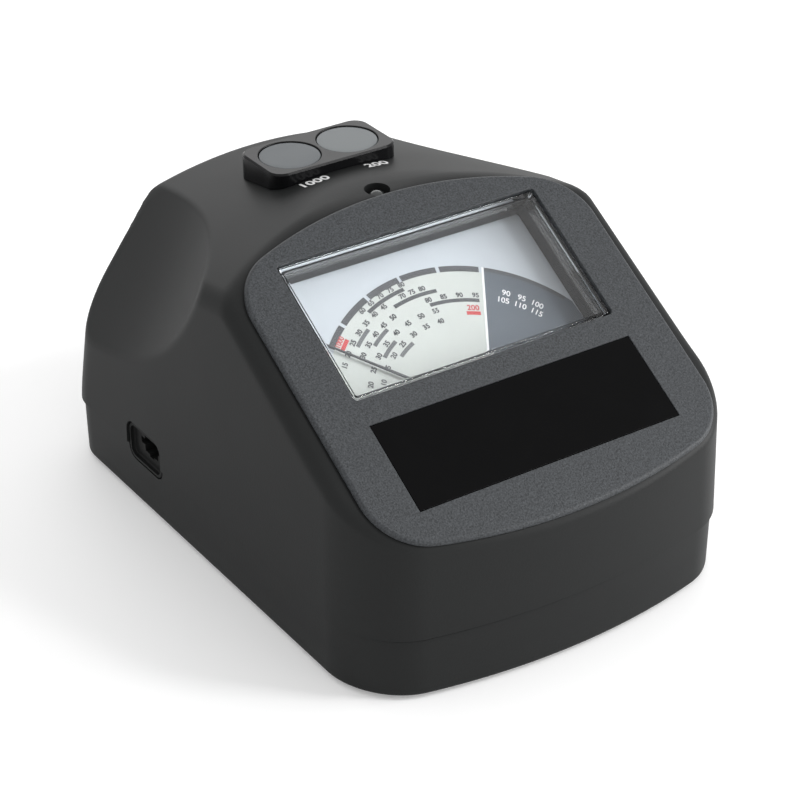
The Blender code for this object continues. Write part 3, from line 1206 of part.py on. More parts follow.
def socket_block(depth, fit):
    """Rounded block through the left wall, grown by a fit."""
    wall = BASE_HALF_WIDTH + BASE_FLARE + PARTING_STEP
    height = FOOT_PROUD + SOCKET_HEIGHT
    half_length = SOCKET_LENGTH / 2 + fit
    half_tall = SOCKET_TALL / 2 + fit
    outline = rounded_rectangle((SOCKET_PLACE - half_length, height - half_tall),
                                (SOCKET_PLACE + half_length, height + half_tall), SOCKET_CORNER + fit, 5)
    outer = CUT_OVERRUN if fit > 0 else -SOCKET_SINK
    mesh_data = bmesh.new()
    corners = [mesh_data.verts.new((-wall - outer, y, z)) for y, z in outline]
    face = mesh_data.faces.new(corners)
    swept = bmesh.ops.extrude_face_region(mesh_data, geom=[face])
    moved = [item for item in swept["geom"] if isinstance(item, bmesh.types.BMVert)]
    bmesh.ops.translate(mesh_data, verts=moved, vec=(depth + outer + (fit if fit > 0 else SOCKET_SINK), 0, 0))
    return from_bmesh("socket_block", mesh_data)


def make_probe_socket(build):
    """Keyed socket for the probe's plug."""
    socket = socket_block(SOCKET_DEPTH, 0)
    wall = BASE_HALF_WIDTH + BASE_FLARE + PARTING_STEP
    height = FOOT_PROUD + SOCKET_HEIGHT
    face = -wall + SOCKET_SINK
    dish_length = SOCKET_LENGTH / 2 - SOCKET_RIM
    dish_tall = SOCKET_TALL / 2 - SOCKET_RIM
    dish = box((face - CUT_OVERRUN, SOCKET_PLACE - dish_length, height - dish_tall),
               (face + SOCKET_DISH, SOCKET_PLACE + dish_length, height + dish_tall))
    soften(dish, SOCKET_CORNER - SOCKET_RIM, 4, math.radians(60))
    cut(socket, build.cutter(dish))
    cuts = ((SOCKET_HOLE_LENGTH / 2, SOCKET_HOLE_TALL / 2, SOCKET_HOLE_DEPTH),
            (SOCKET_KEY_LENGTH / 2, SOCKET_KEY_TALL / 2, SOCKET_HOLE_DEPTH / 2))
    for half_length, half_tall, deep in cuts:
        hole = box((face - CUT_OVERRUN, SOCKET_PLACE - half_length, height - half_tall),
                   (face + deep, SOCKET_PLACE + half_length, height + half_tall))
        cut(socket, build.cutter(hole))
    build.part(socket, "probe_socket", "socket")


def make_board(build):
    """Circuit board on its posts, its chip and screws."""
    board = box((-BOARD_HALF_WIDTH, BOARD_FRONT, BOARD_HEIGHT),
                (BOARD_HALF_WIDTH, BOARD_BACK, BOARD_HEIGHT + BOARD_THICKNESS))
    for side, x in (("left", -BOARD_POST_X), ("right", BOARD_POST_X)):
        hole = rod((x, BOARD_POST_FRONT), 0, BASE_LENGTH, METER_SCREW + SCREW_FIT, sides=SMALL_SIDES)
        cut(board, build.cutter(hole))
        screw = make_screw(METER_SCREW, METER_SCREW_HEAD, BOARD_SCREW_LENGTH)
        screw.rotation_euler = (math.pi, 0, 0)
        screw.location = (x, BOARD_POST_FRONT, BOARD_HEIGHT + BOARD_THICKNESS + SCREW_FIT)
        build.part(screw, f"board_screw_{side}", "steel")
        cut_slot(build, screw, METER_SCREW_HEAD)
    build.part(board, "circuit_board", "board")
    top = BOARD_HEIGHT + BOARD_THICKNESS + CONTACT_GAP
    chip = box((CHIP_PLACE_X - CHIP_WIDTH / 2, CHIP_PLACE_Y - CHIP_DEPTH / 2, top),
               (CHIP_PLACE_X + CHIP_WIDTH / 2, CHIP_PLACE_Y + CHIP_DEPTH / 2, top + CHIP_HEIGHT))
    build.part(chip, "controller_chip", "chip")


def make_switch(build):
    """Slide switch on the board's back edge; its knob reaches through the back wall."""
    top = BOARD_HEIGHT + BOARD_THICKNESS + CONTACT_GAP
    back = BOARD_BACK
    body = box((SWITCH_X - SWITCH_BODY_WIDTH / 2, back - SWITCH_BODY_DEPTH, top),
               (SWITCH_X + SWITCH_BODY_WIDTH / 2, back, top + SWITCH_BODY_HEIGHT))
    half_slot = SWITCH_SLOT_WIDTH / 2
    half_gap = SWITCH_SLOT_HEIGHT / 2
    pocket = box((SWITCH_X - half_slot, back - SWITCH_POCKET, SWITCH_HEIGHT - half_gap),
                 (SWITCH_X + half_slot, BASE_LENGTH, SWITCH_HEIGHT + half_gap))
    cut(body, build.cutter(pocket))
    build.part(body, "switch_body", "chip")
    start = SWITCH_X - SWITCH_SLOT_WIDTH / 2 + SWITCH_FIT
    half_tall = SWITCH_SLOT_HEIGHT / 2 - SWITCH_FIT
    outer = BACK_EDGE - SWITCH_PROUD / 2
    knob = box((start, back - SWITCH_POCKET + SWITCH_FIT, SWITCH_HEIGHT - half_tall),
               (start + SWITCH_KNOB_WIDTH, outer, SWITCH_HEIGHT + half_tall))
    for i in range(SWITCH_RIB_COUNT):
        x = start + SWITCH_KNOB_WIDTH * (i + 1) / (SWITCH_RIB_COUNT + 1)
        groove = box((x - SWITCH_RIB_DEPTH / 2, outer - SWITCH_RIB_DEPTH, 0),
                     (x + SWITCH_RIB_DEPTH / 2, BASE_LENGTH, BASE_LENGTH))
        cut(knob, build.cutter(groove))
    build.part(knob, "switch_slider", "block")


def make_batteries(build):
    """Cells in the bay, with a spring at one end and a contact plate at the other."""
    bay_low, bay_high = bay_corners()
    height = FOOT_PROUD + DOOR_THICKNESS + 2 * CELL_FIT + CELL_RADIUS
    for i in range(CELL_COUNT):
        x = CELL_PITCH * (i - (CELL_COUNT - 1) / 2)
        flip = -1 if i % 2 else 1
        total = CELL_LENGTH + CELL_NUB
        bevel = CELL_RADIUS - CELL_NUB_RADIUS * 2
        profile = [(0, total), (CELL_NUB_RADIUS, total), (CELL_NUB_RADIUS, CELL_LENGTH)]
        profile += [(CELL_RADIUS - bevel / 2, CELL_LENGTH), (CELL_RADIUS, CELL_LENGTH - bevel / 2)]
        profile += [(CELL_RADIUS, bevel / 2), (CELL_RADIUS - bevel / 2, 0), (0, 0)]
        cell = turned(profile, SMALL_SIDES + 4)
        spring_side = bay_high[1] if flip > 0 else bay_low[1]
        start = spring_side - flip * (SPRING_LENGTH + CELL_FIT)
        cell.rotation_euler = (flip * math.pi / 2, 0, 0)
        cell.location = (x, start, height)
        build.part(cell, f"battery_{i + 1}", "cell")
        spring = make_spring()
        spring.rotation_euler = (flip * math.pi / 2, 0, 0)
        spring.location = (x, spring_side - flip * CELL_FIT / 2, height)
        build.part(spring, f"battery_spring_{i + 1}", "steel")
        plate_side = bay_low[1] if flip > 0 else bay_high[1]
        near = plate_side + flip * CELL_FIT / 2
        far = near + flip * CONTACT_THICKNESS
        half = CONTACT_WIDTH / 2
        contact = box((x - half, min(near, far), height - half), (x + half, max(near, far), height + half))
        build.part(contact, f"battery_contact_{i + 1}", "steel")


def make_spring():
    """A conical spring standing on its base."""
    steps = 10 * SPRING_TURNS
    curve = bpy.data.curves.new("spring", "CURVE")
    curve.dimensions = "3D"
    curve.bevel_depth = SPRING_WIRE
    curve.bevel_resolution = 1
    curve.use_fill_caps = True
    line = curve.splines.new("POLY")
    line.points.add(steps)
    for i in range(steps + 1):
        share = i / steps
        radius = SPRING_BASE + (SPRING_TIP - SPRING_BASE) * share
        angle = math.tau * SPRING_TURNS * share
        height = SPRING_WIRE + (SPRING_LENGTH - 2 * SPRING_WIRE) * share
        line.points[i].co = (radius * math.cos(angle), radius * math.sin(angle), height, 1.0)
    return curve_to_mesh("spring", curve)


def make_battery_door(build):
    """Sliding door with side tongues and finger ribs, cut to the base's back edge."""
    directions = outline_directions(PARTING, 0)
    low = FOOT_PROUD
    high = low + DOOR_THICKNESS
    soft = FRONT_RIM_ROUND / 2
    rings = [plan_ring(directions, low, soft), plan_ring(directions, low + soft, 0)]
    rings.append(plan_ring(directions, high, 0))
    door = loft(rings)
    keep = box((-DOOR_HALF_WIDTH, DOOR_FRONT, 0), (DOOR_HALF_WIDTH, BASE_LENGTH, high))
    tongue = box((-DOOR_HALF_WIDTH - DOOR_TONGUE, DOOR_FRONT, high - DOOR_TONGUE_THICKNESS),
                 (DOOR_HALF_WIDTH + DOOR_TONGUE, BASE_LENGTH, high))
    cut(keep, build.cutter(tongue), "UNION")
    cut(door, build.cutter(keep), "INTERSECT")
    for i in range(DOOR_GRIP_COUNT):
        y = BACK_EDGE - DOOR_GRIP_PITCH * (i + 2)
        rib = box((-DOOR_GRIP_WIDTH / 2, y - DOOR_GRIP_BREADTH / 2, 0),
                  (DOOR_GRIP_WIDTH / 2, y + DOOR_GRIP_BREADTH / 2, low + DOOR_GRIP_DEPTH))
        cut(door, build.cutter(rib))
    build.part(door, "battery_door", "case")


def main():
    """Build the whole tester."""
    clear_scene()
    build = Builder()
    make_top_housing(build)
    make_base_cover(build)
    make_front_panel(build)
    make_meter_shell(build)
    make_meter_movement(build)
    make_pointer(build)
    make_disc_block(build)
    make_lamp(build)
    make_probe_socket(build)
    make_board(build)
    make_switch(build)
    make_batteries(build)
    make_battery_door(build)
    make_feet_and_case_screws(build)


main()
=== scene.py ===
"""Looks of the benchtop gem tester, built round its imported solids."""
import math

import bmesh
import bpy
import numpy as np
from mathutils import Matrix, Vector


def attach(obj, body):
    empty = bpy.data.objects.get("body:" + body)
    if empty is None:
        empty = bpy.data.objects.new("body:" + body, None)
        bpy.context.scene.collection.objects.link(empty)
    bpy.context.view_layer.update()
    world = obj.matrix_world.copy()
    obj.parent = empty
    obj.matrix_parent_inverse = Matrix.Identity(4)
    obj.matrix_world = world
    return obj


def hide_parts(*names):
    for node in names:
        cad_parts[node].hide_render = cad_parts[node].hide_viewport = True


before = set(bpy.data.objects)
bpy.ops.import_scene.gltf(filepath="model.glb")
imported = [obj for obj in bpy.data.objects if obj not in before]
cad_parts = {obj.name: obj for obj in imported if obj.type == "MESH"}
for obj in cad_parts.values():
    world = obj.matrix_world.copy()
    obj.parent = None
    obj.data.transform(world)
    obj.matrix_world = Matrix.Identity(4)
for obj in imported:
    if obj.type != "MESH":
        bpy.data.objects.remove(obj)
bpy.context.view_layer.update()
bpy.ops.object.select_all(action="DESELECT")

# Places that pieces share, in metres. The slope has a frame of its own on the panel's face:
# x across, y up the slope, z out of the panel. The brow's frame lies on the face round the lamp.
LIFT = 0.001
FRONT = -0.07605
BACK = 0.07605
TILT = math.radians(31)
FACE_HEIGHT = 0.0408
SLOPE = Matrix.Translation((0, FRONT, FACE_HEIGHT)) @ Matrix.Rotation(TILT, 4, "X")
BROW_Y = 0.0058
BROW_HEIGHT = 0.08543
BROW_RISE = 0.0806
BROW_TILT = math.atan(BROW_RISE)
BROW = Matrix.Translation((0, BROW_Y, BROW_HEIGHT + LIFT)) @ Matrix.Rotation(BROW_TILT, 4, "X")
PARTING = 0.017
PIVOT = 0.0306
DIAL = -0.011
BEYOND = 0.15
SCREW_X = 0.044
SCREW_Y = 0.050
FOOT_X = 0.040
FOOT_Y = 0.061
CASE_SCREWS = [(x, y) for x in (-SCREW_X, SCREW_X) for y in (-SCREW_Y, SCREW_Y)]
FEET = [(x, y) for x in (-FOOT_X, FOOT_X) for y in (-FOOT_Y, FOOT_Y)]

# Outline of the case from above
FRONT_ARC = 0.1716
FRONT_BULGE = 0.0010
FRONT_CORNER = 0.0147
BACK_ARC = 0.3
BACK_CORNER = 0.0103
HALF_WIDTH = 0.0536
BACK_LEAN = 0.2
BACK_LEAN_FROM = 0.0124
BACK_LEAN_BLEND = 0.01
SHELL_FROM = 0.01585
SHELL_STEP = 0.0008
SIDE_DRAFT = 0.0215
BASE_HEIGHT = 0.016
BASE_FLARE = 0.0002

# Top of the case: slope, brow, crown and the scoops in its shoulders
PANEL_SEAT = 0.0015
CROWN_FROM = 0.0092
CROWN_HEIGHT = 0.08597
CROWN_FALL = 0.144
CROWN_BOW = 1.0
CROWN_SIDE_BOW = 0.12205
CROWN_ROUND = 0.002
BROW_ROUND = 0.0008
FRONT_RIM_ROUND = 0.0013
SIDE_RIM_MORE = 0.0026
RIM_BLEND = 0.03
SCOOP_FRONT = 0.0677
SCOOP_RAKE = 0.157
SCOOP_RAKE_FROM = 0.05
SCOOP_HALF = 0.0378
SCOOP_TAPER = 0.091
SCOOP_END = 0.00986
SCOOP_RUN = 0.058
SCOOP_HEIGHT = 0.05997
SCOOP_STEEP = 1.594
SCOOP_BOW = 0.455


# Shape of the case, as in the solids
def meet(a, b, r):
    """Two distances joined with a round of radius r."""
    return np.minimum(np.maximum(a, b) + r, 0) + np.hypot(np.maximum(a + r, 0), np.maximum(b + r, 0)) - r


def plan(x, y, h):
    """Distance to the case's outline from above, at height h over its underside."""
    over = np.maximum(h - BACK_LEAN_FROM, 0)
    bent = over ** 2 / (2 * BACK_LEAN_BLEND)
    lean = BACK_LEAN * np.where(over < BACK_LEAN_BLEND, bent, over - BACK_LEAN_BLEND / 2)
    shell = SHELL_STEP - SIDE_DRAFT * (h - BASE_HEIGHT)
    grow = np.where(h > SHELL_FROM, shell, BASE_FLARE * np.clip(h / BASE_HEIGHT, 0, 1))
    front_center = FRONT - FRONT_BULGE - grow + FRONT_ARC
    back_center = -FRONT + grow - lean - BACK_ARC
    across = np.abs(x)
    front = np.where(y < front_center, np.hypot(across, y - front_center) - FRONT_ARC, -FRONT_ARC)
    back = np.hypot(across, y - back_center) - BACK_ARC
    side = across - HALF_WIDTH - grow
    return np.maximum(meet(front, side, FRONT_CORNER), meet(back, side, BACK_CORNER))


def crown_fall(x, y):
    """How far the crown lies under its highest line."""
    behind = y - CROWN_FROM
    bow = np.maximum(behind, 0) ** 2 / (2 * CROWN_BOW)
    return CROWN_FALL * behind + bow + x * x / (2 * CROWN_SIDE_BOW)


def case(x, y, z, edge=0.0007):
    """Distance to the outside of the closed case; edge is the round at the scoops."""
    h = z - LIFT
    run = y - FRONT
    slope = (h - FACE_HEIGHT + LIFT) * math.cos(TILT) - run * math.sin(TILT) + PANEL_SEAT
    crown = (h - CROWN_HEIGHT + crown_fall(x, y)) * math.cos(math.atan(CROWN_FALL))
    brow = (h - BROW_HEIGHT - BROW_RISE * (y - BROW_Y)) * math.cos(BROW_TILT)
    top = meet(meet(slope, crown, CROWN_ROUND), brow, BROW_ROUND)
    t = np.clip(run / RIM_BLEND, 0, 1)
    shell = meet(top, plan(x, y, h), FRONT_RIM_ROUND + SIDE_RIM_MORE * t * t * (3 - 2 * t))
    ahead = np.maximum(SCOOP_FRONT - y + SCOOP_RAKE * (h - SCOOP_RAKE_FROM), 0)
    width = SCOOP_HALF + SCOOP_TAPER * ahead + SCOOP_END * (ahead / SCOOP_RUN) ** 3
    up = h - SCOOP_HEIGHT
    inside = np.abs(x) - width + up / SCOOP_STEEP - up * up / (2 * SCOOP_BOW)
    return meet(shell, inside * math.sin(math.atan(SCOOP_STEEP)), edge)


def solve(distance, origin, ray):
    """Finds by halving how far each ray runs before it leaves the shape."""
    near = np.zeros(ray.shape[:-1])
    far = np.full(ray.shape[:-1], 0.16)
    for _ in range(36):
        mid = (near + far) / 2
        p = origin + mid[..., None] * ray
        inside = distance(p[..., 0], p[..., 1], p[..., 2]) < 0
        near = np.where(inside, mid, near)
        far = np.where(inside, far, mid)
    return (near + far) / 2


def share_out(points, count, weight=0.01):
    """Places along a line of points, closer together where it turns."""
    step = np.diff(points, axis=0)
    length = np.linalg.norm(step, axis=1)
    unit = step / length[:, None]
    turn = np.zeros(len(length))
    turn[1:] = np.arccos(np.clip((unit[1:] * unit[:-1]).sum(axis=1), -1, 1))
    total = np.concatenate([[0], np.cumsum(length + weight * turn)])
    return np.interp(np.linspace(0, total[-1], count), total, np.arange(len(total)))


def bearings(steps):
    """Directions round the case, the same on both sides, closer together at its corners."""
    tries = 1441
    angle = np.linspace(-math.pi / 2, math.pi / 2, tries)
    ray = np.stack([np.cos(angle), np.sin(angle), 0 * angle], axis=1)
    origin = np.array([0, 0, PARTING + LIFT])
    reach = solve(lambda x, y, z: plan(x, y, z - LIFT), origin, ray)
    right = np.interp(share_out(ray * reach[:, None], steps + 1), np.arange(tries), angle)
    whole = np.concatenate([right, math.pi - right[1:-1][::-1]])
    return np.stack([np.cos(whole), np.sin(whole), 0 * whole], axis=1)


def ring(around, height, inward):
    """A level line round the case, some way in from its outline."""
    origin = np.array([0, 0, height])
    reach = solve(lambda x, y, z: plan(x, y, z - LIFT) + inward, origin, around)
    return [tuple(p) for p in origin + around * reach[:, None]]


def case_rings(around, inward, rows, low, edge=0.0007):
    """Rings from the parting line up to the top, on a shape some way in from the case."""
    origin = np.array([0, 0, PARTING + 0.0001])
    rise = np.linspace(0, math.pi / 2, 481)
    level = np.cos(rise)[None, :, None] * around[:, None, :]
    ray = level + np.sin(rise)[None, :, None] * np.array([0, 0, 1.0])
    reach = solve(lambda x, y, z: case(x, y, z, edge) + inward, origin, ray)
    surface = origin + reach[..., None] * ray
    places = np.array([share_out(line, rows) for line in surface])
    n = np.arange(len(around))
    even = sum(places[(n + k) % len(n)] for k in (-2, -1, 0, 1, 2)) / 5
    cell = np.floor(even).astype(int).clip(0, len(rise) - 2)
    part = (even - cell)[..., None]
    mixed = surface[n[:, None], cell] * (1 - part) + surface[n[:, None], cell + 1] * part
    rings = [low] if low else []
    rings += [[tuple(mixed[i, row]) for i in n] for row in range(rows - 1)]
    rings.append([tuple(surface[0, -1])])
    return rings


# Making meshes
def new_object(name, mesh_data):
    bmesh.ops.recalc_face_normals(mesh_data, faces=mesh_data.faces)
    mesh = bpy.data.meshes.new(name)
    mesh_data.to_mesh(mesh)
    mesh_data.free()
    piece = bpy.data.objects.new(name, mesh)
    bpy.context.scene.collection.objects.link(piece)
    return piece


def loft(rings):
    """A closed skin over rings of points, which may end in one point."""
    made = bmesh.new()
    rows = [[made.verts.new(p) for p in line] for line in rings]
    count = len(rows[0])
    for lower, upper in zip(rows[:-1], rows[1:]):
        for i in range(count):
            j = (i + 1) % count
            if len(upper) == 1:
                made.faces.new((lower[i], lower[j], upper[0]))
            else:
                made.faces.new((lower[i], lower[j], upper[j], upper[i]))
    made.faces.new(list(reversed(rows[0])))
    if len(rows[-1]) > 1:
        made.faces.new(rows[-1])
    return new_object("loft", made)


def pick(piece):
    bpy.ops.object.select_all(action="DESELECT")
    piece.select_set(True)
    bpy.context.view_layer.objects.active = piece
    return piece


def settle(piece, matrix=None):
    """Puts a piece in its place and moves that place into its mesh."""
    if matrix is not None:
        piece.matrix_world = matrix @ piece.matrix_world
    pick(piece)
    bpy.ops.object.transform_apply(location=True, rotation=True, scale=True)
    return piece


def box(low, high, matrix=None):
    bpy.ops.mesh.primitive_cube_add(size=1, location=[(a + b) / 2 for a, b in zip(low, high)])
    piece = bpy.context.active_object
    piece.scale = [b - a for a, b in zip(low, high)]
    return settle(piece if matrix is None else settle(piece), matrix)


def rod(x, y, low, high, radius, sides=64, matrix=None):
    middle = (x, y, (low + high) / 2)
    bpy.ops.mesh.primitive_cylinder_add(vertices=sides, radius=radius, depth=high - low, location=middle)
    return settle(settle(bpy.context.active_object), matrix)


def slab(outline, low, high, matrix=None):
    """A flat outline pulled up to a plate."""
    made = bmesh.new()
    made.faces.new([made.verts.new((x, y, low)) for x, y in outline])
    piece = new_object("slab", made)
    pick(piece)
    bpy.ops.object.mode_set(mode="EDIT")
    bpy.ops.mesh.select_all(action="SELECT")
    bpy.ops.mesh.extrude_region_move(TRANSFORM_OT_translate={"value": (0, 0, high - low)})
    bpy.ops.mesh.select_all(action="SELECT")
    bpy.ops.mesh.normals_make_consistent(inside=False)
    bpy.ops.object.mode_set(mode="OBJECT")
    return settle(piece, matrix)


def above(level):
    """Picks the edges with both ends over a height."""
    return lambda a, b: a.z > level and b.z > level


def on_face(half, low, high):
    """Picks the edges in the panel's face that lie round one of its openings."""
    def held(a, b):
        return above(-0.00005)(a, b) and all(abs(v.x) < half and low < v.y < high for v in (a, b))

    return held


def bevel(piece, width, segments, keep):
    """Rounds the sharp edges that keep(end, other end) picks, in edit mode."""
    pick(piece)
    bpy.ops.object.mode_set(mode="EDIT")
    bpy.ops.mesh.select_all(action="DESELECT")
    bpy.ops.mesh.select_mode(type="EDGE")
    made = bmesh.from_edit_mesh(piece.data)
    for edge in made.edges:
        a, b = (v.co.copy() for v in edge.verts)
        if len(edge.link_faces) == 2 and edge.calc_face_angle(0) > 0.5 and keep(a, b):
            edge.select_set(True)
    bmesh.update_edit_mesh(piece.data)
    bpy.ops.mesh.bevel(offset=width, segments=segments, profile=0.5, affect="EDGES", clamp_overlap=True)
    bpy.ops.object.mode_set(mode="OBJECT")
    return piece


def combine(piece, tool, operation="DIFFERENCE"):
    """Cuts, joins or keeps the overlap of two solids; the second one is used up."""
    step = piece.modifiers.new("combine", "BOOLEAN")
    step.operation = operation
    step.solver = "EXACT"
    step.object = tool
    pick(piece)
    bpy.ops.object.modifier_apply(modifier="combine")
    bpy.data.objects.remove(tool, do_unlink=True)
    return piece


def turned(profile, sides=64, matrix=None):
    """Turns (radius, height) points about Z with the spin tool."""
    made = bmesh.new()
    row = [made.verts.new((r, 0, h)) for r, h in profile]
    for a, b in zip(row[:-1], row[1:]):
        made.edges.new((a, b))
    mesh = bpy.data.meshes.new("turned")
    made.to_mesh(mesh)
    made.free()
    piece = bpy.data.objects.new("turned", mesh)
    bpy.context.scene.collection.objects.link(piece)
    pick(piece)
    bpy.ops.object.mode_set(mode="EDIT")
    bpy.ops.mesh.select_all(action="SELECT")
    bpy.ops.mesh.spin(steps=sides, angle=math.tau, center=(0, 0, 0), axis=(0, 0, 1))
    bpy.ops.mesh.select_all(action="SELECT")
    bpy.ops.mesh.remove_doubles(threshold=0.000002)
    bpy.ops.mesh.normals_make_consistent(inside=False)
    bpy.ops.object.mode_set(mode="OBJECT")
    return settle(piece, matrix)


def join(pieces):
    pick(pieces[0])
    for piece in pieces[1:]:
        piece.select_set(True)
    if len(pieces) > 1:
        bpy.ops.object.join()
    return pieces[0]


def printed(text, size, matrix, thick, bold):
    """A printed number, a thin sheet of paint."""
    bpy.ops.object.text_add()
    piece = bpy.context.active_object
    piece.data.body = text
    piece.data.size = size
    piece.data.align_x = "CENTER"
    piece.data.align_y = "CENTER"
    piece.data.extrude = thick
    piece.data.offset = bold
    piece.data.resolution_u = 4
    pick(piece)
    bpy.ops.object.convert(target="MESH")
    return settle(bpy.context.active_object, matrix)


def dress(piece, name, material, body, slot, *nodes, smooth=35, flat=False):
    """Names a finished piece, gives it its finish and ties it to its body.

    Flat keeps the large faces of a bevelled piece truly flat to the light.
    """
    piece.name = name
    piece.data.name = name
    piece.data.materials.clear()
    piece.data.materials.append(material)
    pick(piece)
    if smooth:
        bpy.ops.object.shade_smooth_by_angle(angle=math.radians(smooth))
    if flat:
        even = piece.modifiers.new("even", "WEIGHTED_NORMAL")
        even.keep_sharp = True
        bpy.ops.object.modifier_apply(modifier="even")
    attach(piece, body)
    if nodes:
        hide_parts(*nodes)
    return piece


def arc(x, y, radius, start, end, steps):
    angles = [start + (end - start) * i / steps for i in range(steps + 1)]
    return [(x + radius * math.cos(a), y + radius * math.sin(a)) for a in angles]


def rounded(low, high, radius, steps=6):
    """A rectangle with round corners."""
    q = math.pi / 2
    left, right = low[0] + radius, high[0] - radius
    near, far = low[1] + radius, high[1] - radius
    points = arc(right, near, radius, -q, 0, steps) + arc(right, far, radius, 0, q, steps)
    return points + arc(left, far, radius, q, 2 * q, steps) + arc(left, near, radius, 2 * q, 3 * q, steps)


# Effects shared by the finishes
SURFACE = [("Color", "NodeSocketColor"), ("Roughness", "NodeSocketFloat"), ("Normal", "NodeSocketVector")]


def group(name, inputs, outputs):
    tree = bpy.data.node_groups.new(name, "ShaderNodeTree")
    for label, value in inputs:
        kind = "NodeSocketColor" if isinstance(value, tuple) else "NodeSocketFloat"
        tree.interface.new_socket(label, in_out="INPUT", socket_type=kind).default_value = value
    for label, kind in outputs:
        tree.interface.new_socket(label, in_out="OUTPUT", socket_type=kind)
    return tree, tree.nodes.new("NodeGroupInput"), tree.nodes.new("NodeGroupOutput")


def node(tree, kind, links=None, **settings):
    made = tree.nodes.new(kind)
    for key, value in settings.items():
        setattr(made, key, value)
    for socket, value in (links or {}).items():
        if isinstance(value, bpy.types.NodeSocket):
            tree.links.new(value, made.inputs[socket])
        else:
            made.inputs[socket].default_value = value
    return made


def maths(tree, operation, a, b=0.0, c=0.0):
    return node(tree, "ShaderNodeMath", {0: a, 1: b, 2: c}, operation=operation).outputs[0]


def put_out(tree, result, color, rough, bump):
    tree.links.new(color, result.inputs["Color"])
    tree.links.new(rough, result.inputs["Roughness"])
    tree.links.new(bump.outputs[0], result.inputs["Normal"])
    return tree


def moulded_group():
    """Moulded plastic: fine grain in the tool's surface, cloudy sheen, a little dust and rub."""
    inputs = [("Color", (0.02, 0.02, 0.02, 1)), ("Roughness", 0.5), ("Grain Size", 0.0006),
              ("Grain Depth", 0.3), ("Speckle", 0.05), ("Cloud", 0.05)]
    tree, given, result = group("moulded_plastic", inputs, SURFACE)
    place = node(tree, "ShaderNodeTexCoord").outputs["Object"]
    scale = maths(tree, "DIVIDE", 1.0, given.outputs["Grain Size"])
    pits = node(tree, "ShaderNodeTexVoronoi", {"Vector": place, "Scale": scale}, feature="SMOOTH_F1")
    grain = {"Vector": place, "Scale": scale, "Detail": 3.0, "Roughness": 0.6}
    fine = node(tree, "ShaderNodeTexNoise", grain)
    wide = {"Vector": place, "Scale": 38.0, "Detail": 4.0, "Roughness": 0.55}
    cloud = node(tree, "ShaderNodeTexNoise", wide)
    height = maths(tree, "ADD", maths(tree, "MULTIPLY", pits.outputs["Distance"], 0.6), fine.outputs[0])
    relief = {"Strength": given.outputs["Grain Depth"], "Distance": 0.0001, "Height": height}
    bump = node(tree, "ShaderNodeBump", relief)
    off_middle = maths(tree, "SUBTRACT", fine.outputs[0], 0.5)
    shift = maths(tree, "MULTIPLY", off_middle, given.outputs["Speckle"])
    cloud_off = maths(tree, "SUBTRACT", cloud.outputs[0], 0.5)
    drift = maths(tree, "MULTIPLY", cloud_off, given.outputs["Cloud"])
    bright = maths(tree, "ADD", 1.0, maths(tree, "ADD", maths(tree, "MULTIPLY", shift, 6.0), drift))
    tint = node(tree, "ShaderNodeHueSaturation", {"Color": given.outputs["Color"], "Value": bright})
    rough = maths(tree, "ADD", given.outputs["Roughness"], maths(tree, "ADD", drift, shift))
    held = node(tree, "ShaderNodeClamp", {0: rough})
    return put_out(tree, result, tint.outputs[0], held.outputs[0], bump)


def polished_group():
    """Polished surface: faint hairlines, smudges and a soft waviness."""
    inputs = [("Color", (0.01, 0.01, 0.01, 1)), ("Roughness", 0.1), ("Smudge", 0.06), ("Hairline", 0.02)]
    tree, given, result = group("polished", inputs, SURFACE)
    place = node(tree, "ShaderNodeTexCoord").outputs["Object"]
    along = {"Vector": place, "Rotation": (0.4, 0.2, 0.6), "Scale": (900.0, 40.0, 900.0)}
    long = node(tree, "ShaderNodeMapping", along)
    lines = node(tree, "ShaderNodeTexNoise", {"Vector": long.outputs[0], "Scale": 1.0, "Detail": 2.0})
    smudges = {"Vector": place, "Scale": 120.0, "Detail": 5.0, "Distortion": 0.6}
    smear = node(tree, "ShaderNodeTexNoise", smudges)
    spread = {"Value": smear.outputs[0], "From Min": 0.45, "From Max": 0.75}
    patch = node(tree, "ShaderNodeMapRange", spread).outputs[0]
    more = maths(tree, "MULTIPLY", patch, given.outputs["Smudge"])
    rough = maths(tree, "ADD", given.outputs["Roughness"], more)
    relief = {"Strength": given.outputs["Hairline"], "Distance": 0.00005, "Height": lines.outputs[0]}
    bump = node(tree, "ShaderNodeBump", relief)
    bright = maths(tree, "ADD", 1.0, more)
    tint = node(tree, "ShaderNodeHueSaturation", {"Color": given.outputs["Color"], "Value": bright})
    return put_out(tree, result, tint.outputs[0], rough, bump)


